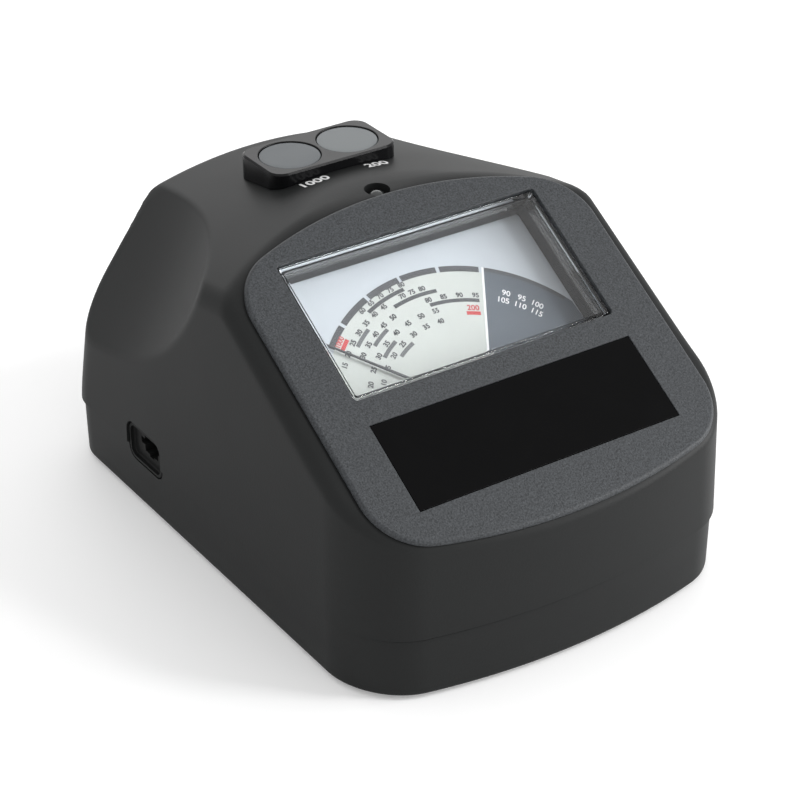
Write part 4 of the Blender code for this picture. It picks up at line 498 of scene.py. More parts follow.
def machined_group():
    """Machined or drawn metal: fine tool marks, tarnish in random spots."""
    inputs = [("Color", (0.5, 0.5, 0.5, 1)), ("Tarnish", (0.2, 0.18, 0.15, 1)), ("Roughness", 0.3),
              ("Marks", 0.15)]
    tree, given, result = group("machined_metal", inputs, SURFACE)
    place = node(tree, "ShaderNodeTexCoord").outputs["Object"]
    long = node(tree, "ShaderNodeMapping", {"Vector": place, "Scale": (300.0, 300.0, 6000.0)})
    lines = node(tree, "ShaderNodeTexNoise", {"Vector": long.outputs[0], "Scale": 1.0, "Detail": 2.0})
    spots = node(tree, "ShaderNodeTexNoise", {"Vector": place, "Scale": 420.0, "Detail": 5.0})
    spread = {"Value": spots.outputs[0], "From Min": 0.5, "From Max": 0.8, "To Max": 0.5}
    dull = node(tree, "ShaderNodeMapRange", spread)
    colors = {0: dull.outputs[0], 6: given.outputs["Color"], 7: given.outputs["Tarnish"]}
    mix = node(tree, "ShaderNodeMix", colors, data_type="RGBA")
    marks = maths(tree, "MULTIPLY", lines.outputs[0], given.outputs["Marks"])
    rough = maths(tree, "ADD", given.outputs["Roughness"], marks)
    relief = {"Strength": given.outputs["Marks"], "Distance": 0.00005, "Height": lines.outputs[0]}
    bump = node(tree, "ShaderNodeBump", relief)
    return put_out(tree, result, mix.outputs[2], rough, bump)


MOULDED = moulded_group()
POLISHED = polished_group()
MACHINED = machined_group()


def finish(name, effect, values, metallic=0.0, **sockets):
    """A finish: one effect group feeding one shader."""
    material = bpy.data.materials.new(name)
    material.use_nodes = True
    tree = material.node_tree
    shader = tree.nodes["Principled BSDF"]
    made = tree.nodes.new("ShaderNodeGroup")
    made.node_tree = effect
    for label, value in values.items():
        made.inputs[label].default_value = value
    tree.links.new(made.outputs["Color"], shader.inputs["Base Color"])
    tree.links.new(made.outputs["Roughness"], shader.inputs["Roughness"])
    tree.links.new(made.outputs["Normal"], shader.inputs["Normal"])
    shader.inputs["Metallic"].default_value = metallic
    for label, value in sockets.items():
        shader.inputs[label.replace("_", " ")].default_value = value
    return material


def plastic(name, color, roughness, size=0.0006, depth=0.3, speckle=0.05, cloud=0.05, **sockets):
    values = {"Color": (*color, 1), "Roughness": roughness, "Grain Size": size, "Grain Depth": depth,
              "Speckle": speckle, "Cloud": cloud}
    return finish(name, MOULDED, values, **sockets)


def ink(name, color, roughness=0.55, speckle=0.01, cloud=0.04):
    """Print and card, matt and almost even."""
    return plastic(name, color, roughness, 0.0004, 0.05, speckle, cloud)


def gloss(name, color, roughness, smudge=0.06, hairline=0.02, **sockets):
    values = {"Color": (*color, 1), "Roughness": roughness, "Smudge": smudge, "Hairline": hairline}
    return finish(name, POLISHED, values, **sockets)


def metal(name, color, tarnish, roughness, marks=0.15):
    values = {"Color": (*color, 1), "Tarnish": (*tarnish, 1), "Roughness": roughness, "Marks": marks}
    return finish(name, MACHINED, values, metallic=1.0)


def clear_plastic():
    """Clear moulded plastic that lets lamp light through."""
    values = {"Color": (0.985, 0.99, 0.995, 1), "Roughness": 0.01, "Smudge": 0.01, "Hairline": 0.001}
    material = finish("clear_window", POLISHED, values, Transmission_Weight=1.0, IOR=1.46)
    tree = material.node_tree
    through = node(tree, "ShaderNodeBsdfTransparent", {"Color": (0.93, 0.95, 0.96, 1)})
    shadow = node(tree, "ShaderNodeLightPath").outputs["Is Shadow Ray"]
    shader = tree.nodes["Principled BSDF"]
    mix = node(tree, "ShaderNodeMixShader", {0: shadow, 1: shader.outputs[0], 2: through.outputs[0]})
    tree.links.new(mix.outputs[0], tree.nodes["Material Output"].inputs["Surface"])
    return material


case_black = plastic("case_black", (0.0172, 0.0180, 0.0181), 0.46, 0.0005, 0.18, 0.02, 0.06,
                     Specular_IOR_Level=0.14)
panel_grey = plastic("panel_grey", (0.046, 0.0495, 0.0535), 0.48, 0.00042, 1.0, 0.45, 0.05,
                     Specular_IOR_Level=0.25)
# Black frame plastic, painted darker and bluer still: painted shade of the recessed well behind the window.
well_black_painted_shade = plastic("well_black_painted_shade", (0.004, 0.005, 0.007), 0.40, 0.0012, 0.02, 0.01, 0.05,
                     Specular_IOR_Level=0.25)
socket_black = plastic("socket_black", (0.0125, 0.0130, 0.0130), 0.46, 0.0005, 0.15, 0.02, 0.05,
                       Specular_IOR_Level=0.08)
inner_black = plastic("inner_black", (0.018, 0.018, 0.019), 0.45)
rubber_black = plastic("rubber_black", (0.020, 0.020, 0.020), 0.85, 0.0005, 0.5, 0.05, 0.1)
plate_black = gloss("plate_black", (0.0018, 0.0018, 0.0020), 0.20, 0.04, 0.01, Specular_IOR_Level=0.07)
block_black = gloss("block_black", (0.0036, 0.0036, 0.0041), 0.21, Specular_IOR_Level=0.22)
disc_grey = gloss("disc_grey", (0.067, 0.077, 0.084), 0.34, 0.05, 0.02, Specular_IOR_Level=0.3)
disc_pale = gloss("disc_pale", (0.115, 0.128, 0.133), 0.34, 0.05, 0.03, Specular_IOR_Level=0.3)
needle_dark = gloss("needle_dark", (0.085, 0.090, 0.095), 0.40)
lamp_clear = gloss("lamp_clear", (0.040, 0.043, 0.043), 0.16, 0.05, 0.01, Coat_Weight=0.3,
                   Coat_Roughness=0.05)
clear_window = clear_plastic()
# The white card and its warm fan are painted down to grey-blue and grey: painted shade of the well behind
# the window.
card_white_painted_shade = ink("card_white_painted_shade", (0.488, 0.524, 0.559), 0.60, 0.002, 0.02)
card_warm_painted_shade = ink("card_warm_painted_shade", (0.512, 0.538, 0.510), 0.60, 0.002, 0.02)
ink_slate = ink("ink_slate", (0.085, 0.105, 0.128))
ink_dark = ink("ink_dark", (0.065, 0.068, 0.074))
ink_grey = ink("ink_grey", (0.130, 0.138, 0.142))
ink_red = ink("ink_red", (0.52, 0.050, 0.055))
ink_white = ink("ink_white", (0.80, 0.80, 0.80), 0.50, 0.004, 0.03)
board_green = gloss("board_green", (0.012, 0.110, 0.050), 0.30, 0.1, 0.1)
cell_jacket = gloss("cell_jacket", (0.030, 0.032, 0.036), 0.22, 0.08)
steel_zinc = metal("steel_zinc", (0.55, 0.56, 0.57), (0.30, 0.29, 0.27), 0.30)
steel_spring = metal("steel_spring", (0.60, 0.60, 0.60), (0.35, 0.34, 0.32), 0.22)
iron_soft = metal("iron_soft", (0.42, 0.42, 0.43), (0.20, 0.18, 0.16), 0.35)
magnet_grey = metal("magnet_grey", (0.24, 0.24, 0.25), (0.12, 0.11, 0.10), 0.45)
brass_turned = metal("brass_turned", (0.72, 0.54, 0.27), (0.36, 0.24, 0.10), 0.28)
copper_wire = metal("copper_wire", (0.76, 0.36, 0.20), (0.35, 0.15, 0.08), 0.30, 0.3)

# Openings that cross more than one piece
WINDOW_HALF = 0.0368
WINDOW_LOW = 0.0415
WINDOW_TOP = 0.0801
SOCKET_LOW = (0.0226, 0.0134)
SOCKET_HIGH = (0.0392, 0.0240)
SOCKET_CORNER = 0.0030
SOCKET_GAP = 0.0003
SOCKET_END = -0.0425
OUTSIDE = -0.060


def window_outline(inset, corner, steps=5):
    low = (inset - WINDOW_HALF, WINDOW_LOW + inset)
    return rounded(low, (WINDOW_HALF - inset, WINDOW_TOP - inset), corner, steps)


def socket_solid(outer, inner, grow):
    """Rounded block through the left wall."""
    low = [value - grow for value in SOCKET_LOW]
    high = [value + grow for value in SOCKET_HIGH]
    made = bmesh.new()
    outline = rounded(low, high, SOCKET_CORNER + grow, 8)
    rows = [[made.verts.new((x, y, z)) for y, z in outline] for x in (outer, inner)]
    n = len(outline)
    for i in range(n):
        j = (i + 1) % n
        made.faces.new((rows[0][i], rows[0][j], rows[1][j], rows[1][i]))
    made.faces.new(rows[0])
    made.faces.new(rows[1])
    return new_object("socket", made)


# Upper case: the outer skin, less a lining that holds its walls, posts and openings
WALL = 0.0025
POST = 0.0035
SCREW_HOLE = 0.0015
LAMP_HOLE = 0.0032
coarse = bearings(26)
fine = bearings(170)
window = window_outline(0, 0.001, 4)
lining_low = [(p[0], p[1], 0.012) for p in ring(coarse, PARTING + 0.0002, WALL)]
lining = loft(case_rings(coarse, WALL, 20, lining_low, 0.001))
for x, y in CASE_SCREWS:
    combine(lining, rod(x, y, PARTING - 0.001, BEYOND, POST, 32))
combine(lining, slab(window, -0.0100, 0.0010, SLOPE), "UNION")
combine(lining, rod(0, 0, -0.0060, 0.0040, LAMP_HOLE, 48, BROW), "UNION")
for x, y in CASE_SCREWS:
    combine(lining, rod(x, y, 0.014, 0.026, SCREW_HOLE, 24), "UNION")
combine(lining, socket_solid(OUTSIDE, SOCKET_END, SOCKET_GAP), "UNION")
combine(lining, box((0.0167, 0.060, 0.0232), (0.0273, 0.090, 0.0268)), "UNION")
rim = [(p[0], p[1], PARTING) for p in ring(fine, PARTING + 0.0002, 0.0002)]
shell = loft(case_rings(fine, 0, 130, rim))
combine(shell, lining)
dress(shell, "upper_case", case_black, "case", "case", "top_housing", smooth=32)

# Lower case, with a lip that the upper case goes over
FLOOR = 0.004
RIM = 0.0167
RIM_BREAK = 0.0002
LIP = 0.0034
LIP_TOP = 0.0192
LIP_WALL = 0.0016
BOTTOM_ROUND = 0.0011
BAY_LOW = (-0.0171, 0.0140, 0.0)
BAY_HIGH = (0.0171, 0.0648, 0.0141)
BAY_WALL = 0.0015
DOOR_HALF = 0.0207
DOOR_FROM = 0.0110
DOOR_TOP = 0.0027
DOOR_GAP = 0.00025
TONGUE_HALF = 0.0220
TONGUE_FROM = 0.0021


def bottom_edge(radius, angles):
    """Rings round the lowest edge of the case."""
    return [ring(fine, LIFT + radius * (1 - math.cos(a)), radius * (1 - math.sin(a))) for a in angles]


rings = bottom_edge(BOTTOM_ROUND, np.linspace(0, math.pi / 2, 5))
rings += [ring(fine, 0.0090, 0), ring(fine, RIM - RIM_BREAK, 0), ring(fine, RIM, RIM_BREAK)]
rings += [ring(fine, RIM, LIP), ring(fine, LIP_TOP, LIP)]
tray = loft(rings)
hollow = loft([ring(coarse, height, LIP + LIP_WALL) for height in (FLOOR, 0.022)])
bay_from = (BAY_LOW[0] - BAY_WALL, BAY_LOW[1] - BAY_WALL, 0)
combine(hollow, box(bay_from, [value + BAY_WALL for value in BAY_HIGH]))
for x, y in CASE_SCREWS:
    combine(hollow, rod(x, y, 0, RIM, POST, 32))
combine(tray, hollow)
for x in (-0.033, 0.033):
    for y in (0.0, 0.062):
        combine(tray, rod(x, y, 0.0025, 0.0182, 0.003, 32), "UNION")
combine(tray, box(BAY_LOW, BAY_HIGH))
slot_half = DOOR_HALF + DOOR_GAP
slot_from = DOOR_FROM - DOOR_GAP
slot_top = DOOR_TOP + DOOR_GAP
combine(tray, box((-slot_half, slot_from, 0), (slot_half, BEYOND, slot_top)))
slot_half = TONGUE_HALF + DOOR_GAP
tongue_slot = box((-slot_half, slot_from, TONGUE_FROM - DOOR_GAP), (slot_half, BEYOND, slot_top + 0.00001))
combine(tray, tongue_slot)
for x, y in CASE_SCREWS:
    sink = rod(x, y, -0.001, 0.0026, 0.0029, 48)
    combine(tray, combine(rod(x, y, -0.001, 0.020, SCREW_HOLE, 32), sink, "UNION"))
for x, y in FEET:
    combine(tray, rod(x, y, -0.001, 0.0022, 0.0057, 48))
combine(tray, socket_solid(OUTSIDE, SOCKET_END, SOCKET_GAP))
dress(tray, "lower_case", case_black, "case", "case", "base_cover", smooth=32)

# Battery door, with tongues at its sides and grip grooves at its end
GRIP_HALF = 0.009
GRIP_PITCH = 0.0026
GRIP_GROOVE = 0.0005
door = loft(bottom_edge(0.0006, (0, 0.5, 1.0, math.pi / 2)) + [ring(fine, DOOR_TOP, 0)])
keep = box((-DOOR_HALF, DOOR_FROM, 0), (DOOR_HALF, BEYOND, DOOR_TOP))
tongues = box((-TONGUE_HALF, DOOR_FROM, TONGUE_FROM), (TONGUE_HALF, BEYOND, DOOR_TOP))
combine(keep, tongues, "UNION")
combine(door, keep, "INTERSECT")
for i in range(5):
    y = BACK - GRIP_PITCH * (i + 2)
    groove = box((-GRIP_HALF, y - GRIP_GROOVE, 0), (GRIP_HALF, y + GRIP_GROOVE, 0.0015))
    combine(door, bevel(groove, 0.0003, 3, above(0.001)))
dress(door, "battery_hatch", case_black, "door", "case", "battery_door", smooth=32)

# Front panel and name plate
PANEL_HALF = 0.0489
PANEL_LOW = -0.00145
PANEL_TOP = 0.0906
PANEL_LOW_ARC = 0.164
PANEL_TOP_ARC = 0.110
PANEL_LOW_CORNER = 0.0155
PANEL_TOP_CORNER = 0.016
PLATE_HALF = 0.03675
PLATE_LOW = 0.0113
PLATE_TOP = 0.0345
PLATE_UNDER = -0.0006
PLATE_GAP = 0.00015
NEAR_EDGE = 0.0007


def panel_outline():
    """A panel with arched ends and round corners that run into them."""
    def end(sign, edge, radius, corner):
        middle = edge - sign * radius
        reach = math.sqrt((radius - corner) ** 2 - (PANEL_HALF - corner) ** 2)
        return middle, middle + sign * reach, math.atan2(reach, PANEL_HALF - corner)

    low_middle, low_y, low_turn = end(-1, PANEL_LOW, PANEL_LOW_ARC, PANEL_LOW_CORNER)
    top_middle, top_y, top_turn = end(1, PANEL_TOP, PANEL_TOP_ARC, PANEL_TOP_CORNER)
    low_x = PANEL_HALF - PANEL_LOW_CORNER
    top_x = PANEL_HALF - PANEL_TOP_CORNER
    points = arc(top_x, top_y, PANEL_TOP_CORNER, 0, top_turn, 32)
    points += arc(0, top_middle, PANEL_TOP_ARC, top_turn, math.pi - top_turn, 60)[1:-1]
    points += arc(-top_x, top_y, PANEL_TOP_CORNER, math.pi - top_turn, math.pi, 32)
    points += arc(-low_x, low_y, PANEL_LOW_CORNER, math.pi, math.pi + low_turn, 28)
    points += arc(0, low_middle, PANEL_LOW_ARC, math.pi + low_turn, math.tau - low_turn, 52)[1:-1]
    return points + arc(low_x, low_y, PANEL_LOW_CORNER, math.tau - low_turn, math.tau, 28)


panel = slab(panel_outline(), -0.0012, 0)
bevel(panel, 0.0010, 7, above(-0.0001))
combine(panel, slab(window, -0.005, 0.005))
recess_low = (-PLATE_HALF - PLATE_GAP, PLATE_LOW - PLATE_GAP, PLATE_UNDER - PLATE_GAP)
combine(panel, box(recess_low, (PLATE_HALF + PLATE_GAP, PLATE_TOP + PLATE_GAP, 0.005)))
at_window = on_face(WINDOW_HALF + NEAR_EDGE, WINDOW_LOW - NEAR_EDGE, WINDOW_TOP + NEAR_EDGE)
at_plate = on_face(PLATE_HALF + NEAR_EDGE, PLATE_LOW - NEAR_EDGE, PLATE_TOP + NEAR_EDGE)
bevel(panel, 0.00025, 3, at_window)
bevel(panel, 0.00012, 2, at_plate)
settle(panel, SLOPE)
dress(panel, "face_panel", panel_grey, "case", "panel", "front_panel", smooth=30, flat=True)
plate = box((-PLATE_HALF, PLATE_LOW, PLATE_UNDER), (PLATE_HALF, PLATE_TOP, -0.0001))
bevel(plate, 0.00012, 2, above(-0.0002))
settle(plate, SLOPE)
dress(plate, "trim_plate", plate_black, "case", "gloss_trim", "name_plate", flat=True)

# Meter: clear window, rim of the well and dial
LENS_GAP = 0.0005
LENS_WALL = 0.0010
FRAME_HALF = 0.0372
FRAME_LOW = 0.0176
FRAME_TOP = 0.0807
FRAME_BACK = -0.0108
FRAME_FACE = -0.0059
STEP_BACK = -0.0068
lens = slab(window_outline(LENS_GAP, 0.0009), -0.0050, -0.0004)
bevel(lens, 0.00035, 4, above(-0.0005))
combine(lens, box((-0.039, 0.0158, -0.0056), (0.039, 0.0825, -0.0043)), "UNION")
well = slab(window_outline(LENS_GAP + LENS_WALL, 0.0008), -0.0070, -0.0019)
bevel(well, 0.0003, 3, above(-0.002))
combine(lens, well)
settle(lens, SLOPE)
dress(lens, "meter_window", clear_window, "case", "clear", "meter_lens", smooth=30, flat=True)


def frame_ring(back, half, top):
    """Three sides of a frame round the dial, open at its low end."""
    made = box((-FRAME_HALF, FRAME_LOW, back), (FRAME_HALF, FRAME_TOP, FRAME_FACE))
    return combine(made, slab(rounded((-half, 0.0050), (half, top), 0.0008, 5), -0.02, 0.01))


well_frame = frame_ring(FRAME_BACK, 0.0361, 0.0797)
combine(well_frame, frame_ring(STEP_BACK, 0.0356, 0.0791), "UNION")
settle(well_frame, SLOPE)
dress(well_frame, "well_frame", well_black_painted_shade, "case", "inner_plastic", "dial_frame", flat=True)
dial = box((-FRAME_HALF, FRAME_LOW, -0.0118), (FRAME_HALF, FRAME_TOP, DIAL))
coil_slot = rounded((-0.0125, PIVOT - 0.0065), (0.0125, PIVOT + 0.0065), 0.002)
combine(dial, slab(coil_slot, -0.02, 0))
for x in (-0.033, 0.033):
    combine(dial, rod(x, 0.0303, -0.02, 0, 0.001, 32))
bevel(dial, 0.0001, 2, above(DIAL - 0.0001))
settle(dial, SLOPE)
dress(dial, "dial_card", card_white_painted_shade, "case", "card", "dial_plate", flat=True)

# Print on the dial: rings and bars round a hub, angles in degrees
HUB_X = -0.0003
HUB_Y = 0.0313
RING_RADIUS = 0.0420
RING_WIDTH = 0.0016
SECTOR_RIM = 0.0011
FAN_LOW = 0.0400
BAR_HALF = 0.0005
INK = 0.00002
RING_DASHES = ((124.8, 134.7), (109.9, 123.5), (94.9, 108.5), (80.0, 93.8), (64.4, 78.7))
LONG_BARS = ((0.0384, 95.2, 113.3), (0.0355, 83.1, 103.5), (0.0321, 65.6, 89.0))
SHORT_BARS = ((0.0357, 119.6, 129.3), (0.0323, 114.0, 124.9), (0.02895, 116.5, 127.9),
              (0.0257, 110.5, 122.3))
RED_BARS = ((0.02835, 65.8, 73.0), (0.0386, 128.5, 133.7))
ROWS = ((60, 80, 0.0397, 114.5, 95.0), (70, 80, 0.0369, 97.5, 88.5), (80, 95, 0.0335, 88.5, 67.0),
        (15, 45, 0.0370, 139.5, 107.0), (30, 50, 0.0336, 132.0, 107.5), (20, 55, 0.0302, 145.0, 88.0),
        (10, 40, 0.0272, 142.0, 88.5))
SECTOR_ROWS = ((90, 100, 0.0356, 54.0, 41.0), (105, 115, 0.0333, 55.0, 40.0))


def inked(outline, layer=1):
    """A patch of ink on the dial."""
    return slab(outline, DIAL + INK * layer * 0.5, DIAL + INK * layer, SLOPE)


def dial_arc(radius, start, end, steps):
    return arc(HUB_X, HUB_Y, radius, math.radians(start), math.radians(end), steps)


def band(outer, inner, start, end, steps=24):
    return dial_arc(outer, start, end, steps) + dial_arc(inner, end, start, steps)


def numbers(texts, radius, start, end, size, bold=0.00004):
    """A row of numbers along an arc, the first one at the start angle."""
    row = []
    for i, text in enumerate(texts):
        angle = start + (end - start) * i / max(len(texts) - 1, 1)
        x, y = dial_arc(radius, angle, angle, 1)[0]
        turn = Matrix.Rotation(math.radians(angle - 90), 4, "Z")
        here = Matrix.Translation((x, y, DIAL + INK * 3.5)) @ turn
        row.append(printed(text, size, SLOPE @ here, 0.00001, bold))
    return row


def fives(low, high):
    """The numbers of a row, in steps of five."""
    return [str(value) for value in range(low, high + 1, 5)]


def ink_piece(pieces, name, look, slot="needle_paint"):
    dress(join(pieces), name, look, "case", slot, smooth=0)


fan = dial_arc(RING_RADIUS - RING_WIDTH, 63, 139, 60)
fan += [(-0.0368, 0.0560), (-0.0368, FAN_LOW), (0.0037, FAN_LOW)]
ink_piece([inked(fan)], "dial_fan", card_warm_painted_shade, "card")
sector = dial_arc(RING_RADIUS, 30.4, 62.6, 40) + [(0.0040, FAN_LOW), (0.0366, FAN_LOW)]
ink_piece([inked(sector, 2)], "dial_sector", ink_slate)
rim = band(RING_RADIUS, RING_RADIUS - SECTOR_RIM, 33, 62.4)
ink_piece([inked(rim, 3)], "dial_sector_rim", ink_dark)
dashes = [inked(band(RING_RADIUS, RING_RADIUS - RING_WIDTH, *ends), 3) for ends in RING_DASHES]
ink_piece(dashes, "dial_dashes", ink_dark)
line = [(0.0040, FAN_LOW), *dial_arc(RING_RADIUS, 62.6, 63.4, 1), (0.0033, FAN_LOW)]
ink_piece([inked(line, 4)], "dial_line", ink_white, "card")
for name, bars, look in (("dial_long_bars", LONG_BARS, ink_dark), ("dial_short_bars", SHORT_BARS, ink_grey),
                         ("dial_red_bars", RED_BARS, ink_red)):
    ink_piece([inked(band(r + BAR_HALF, r - BAR_HALF, *ends, 12), 3) for r, *ends in bars], name, look)
row = []
for low, high, radius, start, end in ROWS:
    row += numbers(fives(low, high), radius, start, end, 0.0018, 0.00006)
ink_piece(row, "dial_numbers", ink_dark)
red = numbers(["200"], 0.0298, 69.2, 69.2, 0.0021) + numbers(["1000"], 0.0399, 131.0, 131.0, 0.0018)
ink_piece(red, "dial_red_numbers", ink_red)
row = []
for low, high, radius, start, end in SECTOR_ROWS:
    row += numbers(fives(low, high), radius, start, end, 0.0022)
ink_piece(row, "dial_sector_numbers", ink_white, "card")

# Needle at its left stop
NEEDLE_LENGTH = 0.0467
NEEDLE_TOP = -0.0098
NEEDLE_REST = math.radians(44.5)
right_side = [(0.0011, -0.0070), (0.0011, -0.0035), (0.00045, 0), (0.0002, NEEDLE_LENGTH)]
needle = slab(right_side + [(-x, y) for x, y in reversed(right_side)], -0.0102, NEEDLE_TOP)
bevel(needle, 0.0001, 2, above(NEEDLE_TOP - 0.0001))
hub = rod(0, 0, -0.0106, -0.0094, 0.0021, 48)
bevel(hub, 0.0002, 3, above(-0.0095))
combine(needle, hub, "UNION")
combine(needle, rod(0, 0, -0.02, 0, 0.0006, 32))
settle(needle, SLOPE @ Matrix.Translation((0, PIVOT, 0)) @ Matrix.Rotation(NEEDLE_REST, 4, "Z"))
dress(needle, "pointer", needle_dark, "movement", "needle_paint", "needle")

# Disc block on the crown, its two test discs and the numbers in front of them
BLOCK_HALF = 0.0181
BLOCK_FRONT = 0.0227
BLOCK_BACK = 0.0413
BLOCK_TOP = 0.0877
BLOCK_CORNER = 0.004
DISC_X = 0.00839
DISC_Y = 0.032
DISC_RADIUS = 0.00765
DISC_TOP = 0.0875
DISC_LOW = 0.0855
POCKET_RADIUS = 0.00785
POCKET_FLOOR = 0.0853
MARK_Y = 0.0203
MARK_SIZE = 0.0042


def at_pocket(a, b):
    """Picks the upper edges of the two pockets."""
    def near(v):
        return min(math.hypot(v.x - x, v.y - DISC_Y) for x in (-DISC_X, DISC_X)) < 0.0080

    return above(BLOCK_TOP - 0.00005)(a, b) and near(a) and near(b)


outline = rounded((-BLOCK_HALF, BLOCK_FRONT), (BLOCK_HALF, BLOCK_BACK), BLOCK_CORNER, 12)
block = slab(outline, 0.070, BLOCK_TOP)
bevel(block, 0.00045, 1, above(BLOCK_TOP - 0.0001))
combine(block, loft(case_rings(bearings(60), -0.00015, 60, None, 0.001)))
for x in (-DISC_X, DISC_X):
    combine(block, rod(x, DISC_Y, POCKET_FLOOR, 0.095, POCKET_RADIUS, 128))
bevel(block, 0.00025, 3, at_pocket)
dress(block, "disc_holder", block_black, "case", "gloss_trim", "disc_block", smooth=40, flat=True)
disc_profile = [(0, DISC_TOP), (0.0060, DISC_TOP), (DISC_RADIUS - 0.00023, DISC_TOP - 0.00002),
                (DISC_RADIUS - 0.00009, DISC_TOP - 0.00007), (DISC_RADIUS, DISC_TOP - 0.00018),
                (DISC_RADIUS, DISC_LOW), (0, DISC_LOW)]
for name, solid, x, look, slot in (("test_disc_1", "glass_disc", -DISC_X, disc_grey, "test_glass"),
                                   ("test_disc_2", "calibration_disc", DISC_X, disc_pale, "test_metal")):
    disc = turned(disc_profile, 96, Matrix.Translation((x, DISC_Y, 0)))
    dress(disc, name, look, "case", slot, solid, flat=True)
for text, x in (("1000", -0.00875), ("200", 0.00945)):
    spot = Vector((x, MARK_Y, CROWN_HEIGHT + LIFT - crown_fall(x, MARK_Y)))
    slant = CROWN_FALL + (MARK_Y - CROWN_FROM) / CROWN_BOW
    normal = Vector((x / CROWN_SIDE_BOW, slant, 1)).normalized()
    turn = Vector((0, 0, 1)).rotation_difference(normal).to_matrix().to_4x4()
    mark = printed(text, MARK_SIZE, Matrix.Translation(spot + normal * 0.00003) @ turn, 0.00002, 0.00010)
    dress(mark, f"disc_number_{text}", ink_white, "case", "card", smooth=0)

# Indicator lamp in the brow
LAMP_RADIUS = 0.0025
LAMP_DOME = -0.0030
LAMP_FLANGE = 0.0030
dome = [(LAMP_RADIUS * math.sin(a), LAMP_DOME + LAMP_RADIUS * math.cos(a))
        for a in np.linspace(0, math.pi / 2, 14)]
flange = [(LAMP_RADIUS, -0.0067), (LAMP_FLANGE - 0.0001, -0.0067), (LAMP_FLANGE, -0.0068),
          (LAMP_FLANGE, -0.0077), (0, -0.0077)]
lamp = turned(dome + flange, 64, BROW)
dress(lamp, "lamp_body", lamp_clear, "case", "lamp", "indicator_lamp")

# Probe socket: a dished face with a keyed opening
SOCKET_WALL = -0.0544
SOCKET_FACE = SOCKET_WALL + 0.0006
SOCKET_BACK = SOCKET_WALL + 0.0115
DISH_LOW = (0.0235, 0.0143)
DISH_HIGH = (0.0383, 0.0231)
KEYED_OPENING = (((0.0265, 0.0171), (0.0330, 0.0223), 0.0085), ((0.0246, 0.0188), (0.0349, 0.0206), 0.004),
                 ((0.0285, 0.0164), (0.0307, 0.0230), 0.004))
jack = socket_solid(SOCKET_FACE, SOCKET_BACK, 0)
bevel(jack, 0.0004, 3, lambda a, b: a.x < SOCKET_FACE + 0.0001 and b.x < SOCKET_FACE + 0.0001)
dish = box((OUTSIDE, *DISH_LOW), (SOCKET_WALL + 0.0018, *DISH_HIGH))
bevel(dish, 0.0021, 8, lambda a, b: abs(a.x - b.x) > 0.001)
bevel(dish, 0.0005, 3, lambda a, b: a.x > SOCKET_WALL and b.x > SOCKET_WALL)
combine(jack, dish)
for low, high, depth in KEYED_OPENING:
    combine(jack, box((OUTSIDE, *low), (SOCKET_FACE + depth, *high)))
dress(jack, "probe_jack", socket_black, "case", "socket", "probe_socket", smooth=32, flat=True)

# Power switch, feet and screws
KNOB_LOW = (0.0170, 0.0653, 0.0235)
KNOB_HIGH = (0.0220, 0.07545, 0.0265)
RIB_GROOVE = 0.0002
knob = box(KNOB_LOW, KNOB_HIGH)
bevel(knob, 0.0003, 3, lambda a, b: a.y > 0.075 and b.y > 0.075)
for i in range(3):
    x = KNOB_LOW[0] + (KNOB_HIGH[0] - KNOB_LOW[0]) * (i + 1) / 4
    groove_low = (x - RIB_GROOVE, KNOB_HIGH[1] - 0.0004, 0.02)
    combine(knob, box(groove_low, (x + RIB_GROOVE, 0.08, 0.03)))
dress(knob, "switch_knob", block_black, "slider", "socket", "switch_slider", flat=True)
FOOT_TOP = 0.0021
FOOT_RADIUS = 0.0055
foot_profile = [(0, FOOT_TOP), (FOOT_RADIUS, FOOT_TOP), (FOOT_RADIUS, 0.0006), (0.0054, 0.0003),
                (0.0052, 0.0001), (0.0049, 0), (0.0034, 0), (0.0032, 0.0002), (0, 0.0002)]
ENDS = (("front", -1), ("back", 1))
SIDES = (("left", -1), ("right", 1))
for end, way in ENDS:
    for side, hand in SIDES:
        foot = turned(foot_profile, 64, Matrix.Translation((FOOT_X * hand, FOOT_Y * way, 0)))
        dress(foot, f"rubber_foot_{end}_{side}", rubber_black, "case", "rubber", f"foot_{end}_{side}")


def crosshead(radius, head, length, place):
    """A pan head screw with a cross recess, head down."""
    root = radius * 0.78
    pitch = radius * 0.55
    thread = []
    for i in range(int((length - 2 * radius) / pitch)):
        z = length - radius - i * pitch
        thread += [(radius, z), (root, z - pitch * 0.5)]
    pan = [(root, 0), (head, 0), (head, -0.0004), (head * 0.93, -0.0009), (head * 0.72, -0.00125),
           (head * 0.4, -0.0014), (0, -0.0014)]
    screw = turned([(0, length), (radius * 0.4, length)] + thread + pan, 40)
    arm = head * 0.62
    blade = radius * 0.22
    recess = box((-arm, -blade, -0.002), (arm, blade, -0.0006))
    combine(recess, box((-blade, -arm, -0.002), (blade, arm, -0.0006)), "UNION")
    combine(screw, recess)
    return settle(screw, place)


for end, way in ENDS:
    for side, hand in SIDES:
        x, y = SCREW_X * hand, SCREW_Y * way
        place = Matrix.Translation((x, y, 0.0024)) @ Matrix.Rotation(x * 20 + y * 9, 4, "Z")
        screw = crosshead(0.0013, 0.0027, 0.022, place)
        dress(screw, f"lid_screw_{end}_{side}", steel_zinc, "case", "steel", f"case_screw_{end}_{side}")

